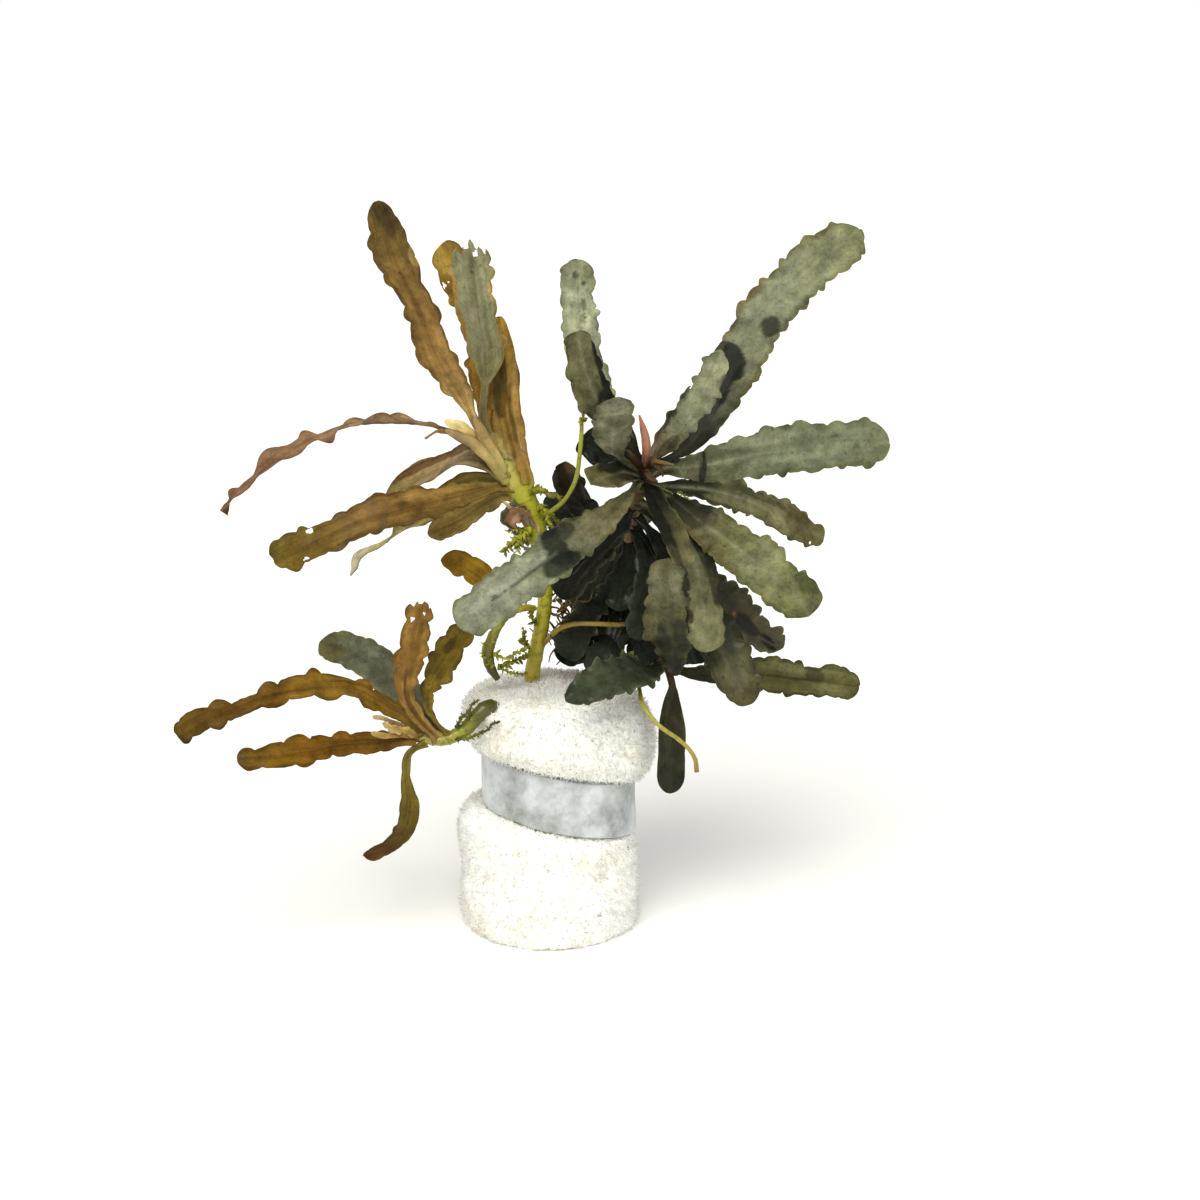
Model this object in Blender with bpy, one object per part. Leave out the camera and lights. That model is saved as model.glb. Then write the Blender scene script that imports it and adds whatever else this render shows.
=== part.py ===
"""Bunch of bucephalandra in a sponge plug with a lead strip round it, as aquarium plants are sold.

Run with: blender --background --python part.py
Metres, +Z up. The origin is the centre of the plug's flat underside, and -Y is the bunch's front.
"""

import math
from collections import namedtuple

import bmesh
import bpy
from mathutils import Vector

MM = 0.001

# Stations of leaves, stems and roots are measured as they look from the front: millimetres across
# and up from the middle of that view, and millimetres behind the plug's axis. The view looks down
# a little, from a close distance, so seen() turns such a station into a point of the object.
VIEW_TILT = math.radians(12.0)
VIEW_DISTANCE = 270.0
VIEW_MIDDLE = Vector((6.45, 0.0, 42.5))

# Plug: height, outline radius, and where the outline's middle is left or right of the axis
PLUG_OUTLINE = (
    (0.0, 9.9, 0.0),
    (0.8, 10.9, 0.0),
    (4.5, 11.1, -0.1),
    (9.0, 10.9, -0.3),
    (12.6, 11.0, -0.6),
    (14.2, 10.4, 0.2),
    (14.5, 8.6, 1.2),
    (22.2, 8.6, 1.2),
    (22.5, 10.6, 1.1),
    (24.2, 11.7, 1.2),
    (26.6, 12.1, 1.3),
    (29.4, 11.2, 0.9),
    (31.0, 9.6, 0.5),
)
PLUG_SIDES = 26
PLUG_LOBE = 0.025
PLUG_DEPTH_SHARE = 0.94

# Lead strip: it leans, high on the left, and its ends overlap behind
STRIP_HEIGHT = 7.0
STRIP_THICKNESS = 0.8
STRIP_MIDDLE = 18.35
STRIP_LEAN = -0.2
STRIP_RADIUS = 8.95
STRIP_MIDDLE_ACROSS = 1.2
STRIP_OVERLAP = math.radians(32.0)
STRIP_SEGMENTS = 38

# Clearance between pieces that touch on the plant
GAP = 0.35

BLADE_THICKNESS = 0.56
STALK_HALF_WIDTH = 0.45

# A leaf's stalk, full and tip are shares of its length: where its stalk ends, where the blade is
# at its widest, and how much of the end the tip's rounding takes
Leaf = namedtuple(
    "Leaf",
    "name stem below stations half_width facing ruffles ruffle look stalk full tip",
    defaults=(0.08, 0.58, 0.16),
)
Stem = namedtuple("Stem", "name stations radii look")

FRONT = (0.0, -1.0, 0.3)
UP = (0.0, -0.25, 1.0)

STEMS = {
    "brown_shoot": Stem(
        "stem_brown_shoot",
        ((-8.6, -13.5, 0), (-8.4, -8.6, 0), (-7.5, -4.4, 0), (-6.9, 0.0, 0.5), (-7.1, 5.2, 0.5),
         (-8.3, 9.8, 0), (-10.0, 13.6, -0.5), (-12.2, 17.2, -1), (-13.4, 19.0, -1.2)),
        (0.9, 0.9, 0.9, 0.9, 1.0, 1.1, 1.35, 1.2, 0.9),
        "stem_green",
    ),
    "crown": Stem(
        "stem_crown",
        ((1.2, -15.0, 2), (1.8, -9.5, 2), (2.8, -4.0, 2), (3.3, 1.5, 2), (3.6, 6.5, 2),
         (4.3, 11.0, 1), (5.1, 14.6, -0.6), (5.6, 17.4, -2.4)),
        (1.0, 1.0, 1.0, 1.0, 1.0, 1.05, 1.1, 0.85),
        "stem_amber",
    ),
    "side": Stem(
        "stem_side_shoot",
        ((-11.2, -9.6, -5.5), (-12.6, -11.4, -7), (-14.4, -13.6, -8.5), (-17.0, -16.3, -9.2),
         (-19.8, -17.5, -9.5), (-23.6, -17.1, -9.6)),
        (0.8, 0.95, 0.95, 0.9, 0.8, 0.65),
        "stem_green",
    ),
    "low": Stem(
        "stem_low_crown",
        ((4.4, -6.6, 2.2), (5.9, -7.6, 2.4), (7.6, -8.0, 1.6), (9.3, -8.3, 0.2)),
        (0.85, 0.9, 0.95, 0.8),
        "stem_amber",
    ),
}

ROOTS = (
    Stem(
        "root_trailing",
        ((5.0, -8.9, 0.6), (4.7, -9.6, -3), (4.9, -11.0, -7.8), (5.5, -13.4, -12), (7.4, -15.7, -13.5),
         (9.5, -17.2, -13.5), (11.0, -18.5, -13), (11.9, -19.9, -12.5), (12.1, -21.5, -12.5)),
        (0.32, 0.32, 0.32, 0.32, 0.32, 0.32, 0.3, 0.28, 0.34),
        "root_green",
    ),
    Stem(
        "root_bridge",
        ((-5.6, -4.8, -0.4), (-4.9, -3.4, -1.2), (-3.1, -2.8, -1.5), (0.0, -2.9, -0.4), (1.5, -3.0, 0.9)),
        (0.35, 0.35, 0.35, 0.35, 0.3),
        "root_amber",
    ),
    Stem(
        "root_hook",
        ((-8.4, -2.4, -1.0), (-9.6, -2.6, -3.4), (-11.6, -2.8, -4.4), (-13.4, -4.0, -5.2),
         (-14.3, -6.2, -5.4), (-13.7, -8.5, -5.0), (-12.8, -10.0, -4.4)),
        (0.4, 0.5, 0.6, 0.7, 0.75, 0.7, 0.6),
        "stem_green",
    ),
    Stem(
        "runner",
        ((-7.2, 10.6, -1.4), (-5.8, 11.3, -2.8), (-4.2, 12.8, -3.7), (-3.0, 15.2, -3.9),
         (-2.5, 18.5, -3.6), (-2.3, 21.4, -3.4), (-2.4, 22.8, -3.4)),
        (0.34, 0.36, 0.36, 0.38, 0.4, 0.42, 0.36),
        "root_green",
    ),
)

LEAVES = (
    # Brown shoot on the left
    Leaf("brown_leaf_tall", "brown_shoot", 0.4,
         ((-16, 23.8, -2.4), (-19.6, 29.5, -5), (-22.3, 35.9, -7.2), (-25.2, 41.6, -8.8),
          (-27.1, 47.1, -10), (-28.1, 49.8, -10.4)),
         2.53, (-0.4, -0.9, 0), 6, 0.35, "leaf_brown", 0.08, 0.6),
    Leaf("brown_leaf_frayed", "brown_shoot", 1,
         ((-14.5, 22.5, 0.4), (-14.5, 26, 1.4), (-14.2, 29.8, 2), (-15, 35, 2.6), (-15.8, 40, 3.4),
          (-16.5, 45, 4.6)),
         2.81, (0.4, -0.9, 0), 5, 0.4, "leaf_grey", 0.28, 0.62),
    Leaf("brown_leaf_behind", "brown_shoot", 2.2,
         ((-14.1, 21.9, 3.4), (-14.2, 25.6, 6.8), (-14.6, 31, 10.2), (-15.9, 36.5, 12.4),
          (-18.1, 41.2, 13.4), (-19.3, 44.9, 14)),
         2.23, (-0.45, -0.9, 0), 5, 0.35, "leaf_brown", 0.15, 0.6),
    Leaf("brown_leaf_right", "brown_shoot", 6.6,
         ((-9.7, 16.4, 1.6), (-10.6, 18.8, 2.6), (-11.8, 23.8, 3.8), (-12, 28.6, 4.4),
          (-12.4, 32.8, 4.6), (-12.6, 35.5, 4.6)),
         2.07, (-0.3, -0.95, 0), 5, 0.3, "leaf_brown", 0.05, 0.5, 0.5),
    Leaf("brown_leaf_arching", "brown_shoot", 1.6,
         ((-17.5, 20.5, -1.6), (-21.2, 22, -4.2), (-26.9, 22.4, -7.6), (-31.9, 21.8, -10.6),
          (-37.1, 19.5, -13.6), (-42.2, 16.1, -15.8), (-45.5, 13.5, -16.8), (-47.4, 11.1, -17.2)),
         1.61, (-0.2, -0.12, 1), 6, 0.6, "leaf_brown"),
    Leaf("brown_leaf_folded", "brown_shoot", 3.9,
         ((-16, 17.6, -1), (-19, 16.8, 2.6), (-21.8, 15.5, 5.4), (-24.4, 14, 7.6), (-26.8, 12.4, 9)),
         1.47, (-0.3, -0.6, 0.9), 3, 0.2, "leaf_brown", 0.08, 0.5, 0.3),
    Leaf("brown_leaf_broad", "brown_shoot", 5.2,
         ((-13, 14, -2.4), (-16.2, 13.4, -5), (-20, 12.5, -7.4), (-24.8, 11.4, -9.6),
          (-29.5, 10, -11.2), (-34.2, 7.9, -12.2), (-37.5, 6.4, -12.4), (-40.8, 5, -12)),
         2.29, (-0.1, -0.8, 0.6), 6, 0.45, "leaf_brown", 0.08, 0.45),
    Leaf("brown_leaf_short", "brown_shoot", 6.6,
         ((-12.5, 13.1, -1.2), (-14.9, 11.9, -2.2), (-17.4, 10.2, -3), (-19.9, 9, -3.4),
          (-21.5, 8.1, -3.6)),
         1.45, (0.1, -0.95, 0.3), 4, 0.3, "leaf_brown"),
    Leaf("brown_leaf_twisted", "brown_shoot", 4.4,
         ((-16, 15.2, 2.6), (-20, 12.5, 6), (-23.8, 9.4, 9), (-26.9, 7.2, 10.6), (-29.4, 6.2, 10.8),
          (-30.6, 5, 10.2), (-31.2, 3, 9.4)),
         1.7, (0.2, -0.9, -0.3), 5, 0.45, "leaf_brown", 0.1, 0.5, 0.4),
    Leaf("brown_leaf_low", "brown_shoot", 16,
         ((-11, 1.2, 1.6), (-13.5, 2, 1.2), (-15.6, 3.4, 0.4), (-17.8, 4.6, -0.4), (-19.9, 5, -1)),
         1.6, (0, -1, 0.5), 3, 0.25, "leaf_brown", 0.1, 0.55, 0.25),
    Leaf("brown_leaf_back", "brown_shoot", 5.6,
         ((-13.2, 14, 3.4), (-16.6, 13.6, 8), (-20.4, 13, 12.4), (-25, 11.4, 15.8)),
         1.75, (-0.2, 0.1, 1), 4, 0.35, "leaf_brown"),

    # Grey-green crown on the right
    Leaf("crown_leaf_upper_right", "crown", 1.4,
         ((9, 17.8, 0.4), (11.4, 19.5, 1.8), (13.9, 23.1, 3.4), (15.6, 26.5, 4.6), (17.8, 30.6, 6),
          (20.5, 35.5, 7.4), (24.6, 40, 8.8), (28.5, 43.2, 10), (32.4, 46.4, 11.6)),
         3.27, (-0.3, -0.9, 0.3), 6, 0.35, "leaf_green", 0.1, 0.5),
    Leaf("crown_leaf_over_upper_right", "crown", 0.9,
         ((7.5, 18.5, -2.6), (9, 20.2, -3.8), (10.6, 22.1, -5), (11.8, 24.1, -6.2), (13, 26.5, -7.2),
          (14.2, 28.8, -8), (15, 31.2, -8.4)),
         1.81, (0.4, -0.9, 0.2), 5, 0.3, "leaf_green", 0.1, 0.45),
    Leaf("crown_leaf_edge_on", "crown", 1.8,
         ((6.9, 19.4, 1.6), (8.2, 21.6, 4), (9.8, 24, 6.6), (11.2, 26.6, 8.6)),
         1.21, (0.8, -0.6, -0.3), 4, 0.25, "leaf_green"),
    Leaf("crown_leaf_right", "crown", 2.8,
         ((8.5, 16.4, -3.2), (11.2, 16.6, -5), (14.4, 17.1, -6.6), (18.4, 18, -8.6), (24.1, 18.8, -11),
          (29.9, 19.4, -12.6), (33.5, 19.5, -13), (36.2, 19.6, -13)),
         3.06, (0.1, -0.85, 0.5), 6, 0.35, "leaf_green", 0.08, 0.5),
    Leaf("crown_leaf_right_low", "crown", 4,
         ((8.8, 14.1, 0.8), (12.6, 13.9, 3), (16.9, 13, 5.2), (19.8, 11.9, 6.8), (22.6, 10.4, 8),
          (25, 9, 9), (28, 7.8, 10.4)),
         2.04, (0.1, -0.85, 0.5), 5, 0.3, "leaf_green", 0.08, 0.5),
    Leaf("crown_leaf_lower_right", "crown", 4.6,
         ((8.5, 12.9, -1.6), (10, 11.9, -3.2), (12.8, 9.6, -5.6), (16.4, 7.1, -8.2),
          (19.6, 4.6, -10.8), (22.8, 1.8, -13), (24.9, -0.2, -14.2), (26.2, -2, -15)),
         3.24, (0.3, -0.9, 0.3), 6, 0.35, "leaf_green", 0.1, 0.6),
    Leaf("crown_leaf_front_short", "crown", 3.6,
         ((6.4, 13.8, -4.2), (7.2, 12.1, -6.8), (8.5, 9.8, -10.2), (9.6, 7.4, -13), (10.9, 4.2, -15.4)),
         1.52, (0.1, -0.8, 0.7), 3, 0.2, "leaf_green", 0.1, 0.5),
    Leaf("crown_leaf_front_hanging", "crown", 6.2,
         ((8, 10.4, -3.2), (10.2, 7.6, -5.6), (12.1, 3.8, -7.6), (13, -1, -8.8), (13.4, -6.5, -9.4)),
         2.29, (0.3, -0.95, 0.15), 5, 0.3, "leaf_green"),
    Leaf("crown_leaf_dark_crumpled", "crown", 6.8,
         ((8, 9.1, 2), (11.2, 5, 4.6), (14.2, 1.2, 6.6), (17.1, -1.4, 8), (19.6, -3.6, 9),
          (22.9, -6, 10.4)),
         2.17, (-0.2, -0.85, 0.4), 5, 0.5, "leaf_dark"),
    Leaf("crown_leaf_dark_low_right", "crown", 8.2,
         ((7.5, 6.9, -1), (10.8, 1, -3), (13.8, -3.8, -4.8), (16.4, -8.2, -6.2), (19, -13, -7)),
         2.83, (0.3, -0.95, 0.3), 5, 0.35, "leaf_dark"),
    Leaf("crown_leaf_front_left", "crown", 3.2,
         ((2.8, 12.2, -5.6), (-1.2, 8.9, -9.6), (-5.5, 5.8, -13), (-10.6, 1.9, -15.6),
          (-15, -1.2, -17), (-17.9, -3.1, -17.4)),
         2.94, (-0.2, -0.9, 0.5), 6, 0.35, "leaf_green"),
    Leaf("crown_leaf_up_behind", "crown", 1,
         ((2.4, 20.6, 1.6), (0.2, 24.4, 4.6), (-1.4, 28.8, 7.4), (-2.4, 33.2, 9.8), (-2.8, 37.9, 11.8),
          (-2.8, 42.6, 13)),
         2.45, (0.4, -0.9, 0.1), 6, 0.35, "leaf_green"),
    Leaf("crown_leaf_up_front", "crown", 0.5,
         ((3.4, 20.4, -2.6), (1.4, 22.8, -3.4), (-0.4, 25.2, -4), (-2, 29.4, -4.6), (-2.9, 33.6, -5)),
         2.25, (-0.4, -0.9, 0.1), 4, 0.3, "leaf_green"),
    Leaf("crown_leaf_short_broad", "crown", 1.4,
         ((3.6, 18.5, -5.4), (2.8, 20, -9), (2.1, 22, -13), (2, 23.9, -16), (2.2, 25.4, -17.6)),
         2.5, (-0.1, -0.8, 0.8), 3, 0.2, "leaf_green", 0.15, 0.6),
    Leaf("crown_leaf_dark_left", "crown", 3,
         ((3.4, 17, 2.2), (1.6, 18, 2.8), (-0.4, 18.7, 2.6), (-1.9, 18.5, 2)),
         1.9, (-0.4, -1, 0.3), 2, 0.2, "leaf_dark"),
    Leaf("crown_leaf_olive_left", "crown", 2.6,
         ((3.2, 15.9, -5), (1.5, 15.6, -8.4), (-0.1, 15.1, -11), (-1.1, 14.6, -12.6)),
         2.1, (-0.1, -1, 0.6), 2, 0.15, "leaf_green"),

    # Dark leaves lower down the crown's stem
    Leaf("dark_leaf_upper_left", "crown", 11.5,
         ((0.6, 8.4, 3.4), (-2.2, 11.6, 3.6), (-3.6, 14.4, 3.4), (-4.4, 17.3, 3)),
         1.99, (-0.5, -0.85, 0.1), 3, 0.3, "leaf_dark"),
    Leaf("dark_leaf_left", "crown", 13.5,
         ((0.8, 5, 6), (-2.2, 8, 8), (-4.6, 10.8, 8.4), (-6, 13.4, 8)),
         2.56, (-0.5, -0.8, 0.35), 3, 0.35, "leaf_dark"),
    Leaf("dark_leaf_under_front", "crown", 7.6,
         ((2.4, 9, -2.4), (0, 6.6, -5), (-2.8, 3.6, -6.8), (-5, 0.2, -7.6)),
         2.53, (-0.3, -0.85, 0.6), 4, 0.45, "leaf_dark"),
    Leaf("dark_leaf_middle", "crown", 10.2,
         ((5.6, 5.6, -1.8), (5.8, 2.4, -3.4), (5.4, -1.4, -4.4), (4.4, -5, -4.8)),
         1.97, (0.4, -0.95, 0.2), 4, 0.35, "leaf_dark"),
    Leaf("dark_leaf_low_left", "crown", 16.5,
         ((1, 0.2, 1), (-1.2, -1.2, -2.2), (-2.8, -4, -3.8), (-4.1, -7.4, -4.2)),
         2.32, (-0.5, -0.85, 0.4), 4, 0.4, "leaf_dark"),
    Leaf("dark_leaf_low_middle", "crown", 19.5,
         ((2, -4.6, -0.8), (1.2, -5.8, -2.8), (0.2, -7.6, -3.8), (-0.8, -9.4, -3.8)),
         1.9, (0.1, -1, 0.4), 3, 0.35, "leaf_dark"),
    Leaf("dark_leaf_back_left", "crown", 15.0,
         ((1.6, 4.0, 6.2), (-1.6, 5.8, 10.4), (-5.4, 6.6, 13.6), (-9.4, 6.4, 15.6)),
         2.2, (-0.3, 0.3, 1.0), 4, 0.35, "leaf_dark"),
    Leaf("dark_leaf_back", "crown", 9.4,
         ((4.4, 9.4, 5.4), (5.4, 11.4, 9.8), (5.8, 11.8, 14.4), (5.6, 10.4, 18.6)),
         2.4, (0.1, 0.4, 1.0), 4, 0.35, "leaf_green"),
    Leaf("dark_leaf_back_right", "crown", 12.4,
         ((5.6, 5.4, 5.4), (9.0, 6.8, 9.0), (13.0, 6.4, 12.2), (17.0, 4.6, 14.4)),
         2.3, (0.4, 0.2, 1.0), 4, 0.35, "leaf_green"),

    Leaf("dark_leaf_inner_left", "crown", 12.2,
         ((3.5, 4.6, -0.6), (3.1, 2.8, -1.5), (2.7, 0.8, -2.3), (2.4, -1.4, -2.9)),
         1.7, (-0.4, -1, 0.2), 4, 0.35, "leaf_dark"),

    Leaf("dark_leaf_inner_right", "crown", 10.6,
         ((6.5, 3.5, 3.6), (8.5, 0, 4.8), (10, -3.8, 5), (11.2, -8, 4.6)),
         2.22, (0.45, -0.9, 0.2), 4, 0.35, "leaf_dark"),

    # Low crown, behind the hanging leaves on the right
    Leaf("low_leaf_up_front", "low", 0.5,
         ((9.1, -8.6, -3.4), (9, -6.2, -6.8), (8.4, -2.8, -9.6), (8.5, 1.6, -11.6), (8.5, 5.2, -12.6)),
         2.62, (-0.25, -1, 0.1), 5, 0.3, "leaf_green"),
    Leaf("low_leaf_down", "low", 0.9,
         ((9, -11, -2.6), (8.9, -12.8, -4), (8.9, -16.9, -6.4), (8.9, -21.2, -8.2), (8.8, -24.2, -8.8)),
         1.87, (0.35, -0.95, 0), 3, 0.25, "leaf_dark", 0.2, 0.6),
    Leaf("low_leaf_right", "low", 1.4,
         ((11.4, -9.2, 1.6), (15.4, -9.2, 3.8), (20, -9.4, 5.6), (24, -9.8, 7), (28, -10.2, 8.2),
          (32.4, -10.9, 9)),
         2.21, (0.1, -0.85, 0.5), 5, 0.35, "leaf_olive"),
    Leaf("low_leaf_front_left", "low", 2.2,
         ((6.6, -8.6, -3.4), (4.6, -8.8, -8.6), (1.5, -9.8, -13.2), (-1.9, -11.3, -15.8),
          (-4.3, -12.6, -17)),
         2.45, (-0.2, -0.9, 0.5), 4, 0.3, "leaf_dark"),
    Leaf("low_leaf_back", "low", 3,
         ((7.4, -5.4, 5), (9.4, -3.4, 8.2), (12, -2.2, 11.4), (15.2, -2.8, 14)),
         2.2, (0.3, 0.1, 1), 4, 0.35, "leaf_dark"),

    # Side shoot that trails out of the plug's left
    Leaf("side_leaf_long", "side", 2.2,
         ((-23.4, -15.6, -8.6), (-25, -14.1, -8.5), (-27.6, -12.5, -9), (-30.5, -11.1, -9.8),
          (-34.8, -10.9, -11.6), (-38.4, -11.4, -13.2), (-42.2, -12.2, -14.8), (-46.4, -13.9, -16.2),
          (-49.5, -15.2, -17), (-52.8, -17.1, -17.4)),
         1.69, (-0.2, -0.8, 1), 6, 0.5, "leaf_brown", 0.1, 0.4),
    Leaf("side_leaf_low", "side", 0.3,
         ((-25.4, -17.7, -10.8), (-29.5, -17.8, -12.6), (-32.8, -18.1, -14.6), (-35.9, -18.8, -16.4),
          (-39.1, -19.2, -17.8), (-42.2, -19.6, -18.8), (-45.4, -19.8, -19.4)),
         1.59, (0, -0.8, 0.6), 6, 0.35, "leaf_brown", 0.1, 0.5),
    Leaf("side_leaf_dark", "side", 3.8,
         ((-21.4, -14.8, -6.8), (-24, -11.8, -3.6), (-27.6, -8.6, -1), (-31.2, -6.4, 1.2),
          (-35, -5.2, 3.2)),
         2.35, (0, -0.85, 0.55), 4, 0.25, "leaf_dark"),
    Leaf("side_leaf_upright", "side", 3.2,
         ((-22.8, -14.6, -11.4), (-24.2, -12, -12.8), (-24.2, -9.2, -13.8), (-23.5, -6.1, -14.2),
          (-22.8, -3, -14), (-21.9, -0.2, -13.6)),
         1.66, (0.45, -0.9, 0), 4, 0.3, "leaf_brown"),
    Leaf("side_leaf_right", "side", 4.9,
         ((-20.4, -15.4, -10.6), (-21.6, -13, -10.9), (-21.2, -10.4, -11), (-19.7, -7.8, -10.6),
          (-18, -5.2, -9.6), (-16.8, -3, -8.6)),
         1.7, (0.3, -1, 0.1), 3, 0.3, "leaf_olive", 0.15, 0.6),
    Leaf("side_leaf_hanging", "side", 1.8,
         ((-24, -19.2, -10.6), (-24.3, -22.2, -11.6), (-23.9, -25.2, -12), (-24.5, -28.5, -11.8),
          (-26.8, -31, -11.2), (-29.5, -32, -10.4)),
         1.2, (0.5, -1, 0), 3, 0.2, "leaf_olive"),
)

# Rolled young leaf that stands out of the crown
SPIKE = Stem(
    "young_leaf_rolled",
    ((5.7, 18.6, -3.2), (5.6, 20.4, -3.8), (5.3, 22.0, -4.0), (4.9, 23.1, -4.0)),
    (0.6, 0.55, 0.4, 0.12),
    "leaf_young",
)

COLOURS = {
    "sponge": ((0.90, 0.88, 0.82, 1.0), 0.95, 0.0),
    "lead": ((0.42, 0.44, 0.45, 1.0), 0.5, 0.85),
    "leaf_green": ((0.22, 0.25, 0.17, 1.0), 0.5, 0.0),
    "leaf_grey": ((0.34, 0.35, 0.26, 1.0), 0.55, 0.0),
    "leaf_dark": ((0.03, 0.04, 0.03, 1.0), 0.3, 0.0),
    "leaf_olive": ((0.12, 0.10, 0.04, 1.0), 0.4, 0.0),
    "leaf_brown": ((0.25, 0.15, 0.05, 1.0), 0.4, 0.0),
    "leaf_young": ((0.42, 0.14, 0.10, 1.0), 0.35, 0.0),
    "stem_green": ((0.36, 0.38, 0.05, 1.0), 0.35, 0.0),
    "stem_amber": ((0.25, 0.14, 0.04, 1.0), 0.4, 0.0),
    "root_green": ((0.40, 0.42, 0.07, 1.0), 0.4, 0.0),
    "root_amber": ((0.34, 0.20, 0.05, 1.0), 0.45, 0.0),
}


def seen(across, up, behind):
    """The point, in millimetres, that the front view shows at (across, up), this far behind the plug's axis."""
    ahead = Vector((0.0, math.cos(VIEW_TILT), -math.sin(VIEW_TILT)))
    upward = Vector((0.0, math.sin(VIEW_TILT), math.cos(VIEW_TILT)))
    eye = VIEW_MIDDLE - ahead * VIEW_DISTANCE
    ray = ahead * VIEW_DISTANCE + Vector((across, 0.0, 0.0)) + upward * up
    return eye + ray * ((behind - eye.y) / ray.y)


def smooth(points, share):
    """The point at this share, 0 to 1, of a smooth curve through the points."""
    spans = [(b - a).length for a, b in zip(points, points[1:])]
    left = share * sum(spans)
    i = 0
    while i < len(spans) - 1 and left > spans[i]:
        left -= spans[i]
        i += 1
    t = min(1.0, left / spans[i])
    a, b = points[i], points[i + 1]
    before = points[i - 1] if i else a * 2 - b
    after = points[i + 2] if i + 2 < len(points) else b * 2 - a
    slope_a = (b - before) * (spans[i] / (spans[i] + (a - before).length))
    slope_b = (after - a) * (spans[i] / (spans[i] + (after - b).length))
    return (
        a * (2 * t**3 - 3 * t**2 + 1)
        + slope_a * (t**3 - 2 * t**2 + t)
        + b * (3 * t**2 - 2 * t**3)
        + slope_b * (t**3 - t**2)
    )


def material(look):
    """The finish of this name, made once."""
    found = bpy.data.materials.get(look)
    if found:
        return found
    colour, roughness, metallic = COLOURS[look]
    made = bpy.data.materials.new(look)
    made.use_nodes = True
    shader = made.node_tree.nodes["Principled BSDF"]
    shader.inputs["Base Color"].default_value = colour
    shader.inputs["Roughness"].default_value = roughness
    shader.inputs["Metallic"].default_value = metallic
    made.diffuse_color = colour
    return made


def add_object(name, data, look):
    """Links an object with this mesh or curve and finish."""
    data.materials.append(material(look))
    made = bpy.data.objects.new(name, data)
    bpy.context.scene.collection.objects.link(made)
    return made


def add_solid(name, points, faces, look):
    """A closed solid from points in millimetres."""
    mesh = bpy.data.meshes.new(name)
    bm = bmesh.new()
    corners = [bm.verts.new(p * MM) for p in points]
    for face in faces:
        bm.faces.new([corners[i] for i in face])
    bmesh.ops.recalc_face_normals(bm, faces=bm.faces)
    bm.to_mesh(mesh)
    bm.free()
    mesh.shade_smooth()
    mesh.set_sharp_from_angle(angle=math.radians(35))
    return add_object(name, mesh, look)


def stem_points(stem):
    return [seen(*station) for station in stem.stations]


def add_stem(stem, grow=0.0, name=None):
    """A round stem or root along its stations, as a curve with a round section."""
    points = stem_points(stem)
    steps = 2 * len(points)
    curve = bpy.data.curves.new(name or stem.name, "CURVE")
    curve.dimensions = "3D"
    curve.bevel_depth = MM
    curve.bevel_resolution = 2
    curve.use_fill_caps = True
    spline = curve.splines.new("POLY")
    spline.points.add(steps)
    for i, point in enumerate(spline.points):
        share = i / steps
        place = share * (len(stem.radii) - 1)
        low = min(int(place), len(stem.radii) - 2)
        radius = stem.radii[low] + (stem.radii[low + 1] - stem.radii[low]) * (place - low)
        point.co = (*(smooth(points, share) * MM), 1.0)
        point.radius = radius + grow
    return add_object(name or stem.name, curve, stem.look)


def root_of(leaf):
    """Where the leaf's stalk leaves its stem: on the skin, on the side that the leaf grows to."""
    stem = STEMS[leaf.stem]
    points = stem_points(stem)
    length = sum((b - a).length for a, b in zip(points, points[1:]))
    share = 1.0 - leaf.below / length
    here = smooth(points, share)
    along = (smooth(points, min(1.0, share + 0.01)) - smooth(points, share - 0.01)).normalized()
    out = seen(*leaf.stations[0]) - here
    out = (out - along * out.dot(along)).normalized()
    place = share * (len(stem.radii) - 1)
    low = min(int(place), len(stem.radii) - 2)
    radius = stem.radii[low] + (stem.radii[low + 1] - stem.radii[low]) * (place - low)
    return here + out * (radius + GAP)


def blade_width(leaf, share):
    """Half the blade's width at this share of its length: a narrow stalk, a long widening, a round tip."""
    widening = min(1.0, max(0.0, (share - leaf.stalk) / (leaf.full - leaf.stalk)))
    width = STALK_HALF_WIDTH + (leaf.half_width - STALK_HALF_WIDTH) * math.sin(widening * math.pi / 2)
    if share > 1.0 - leaf.tip:
        width *= math.sqrt(max(0.0, 1.0 - ((share - 1.0 + leaf.tip) / leaf.tip) ** 2))
    return width


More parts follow.
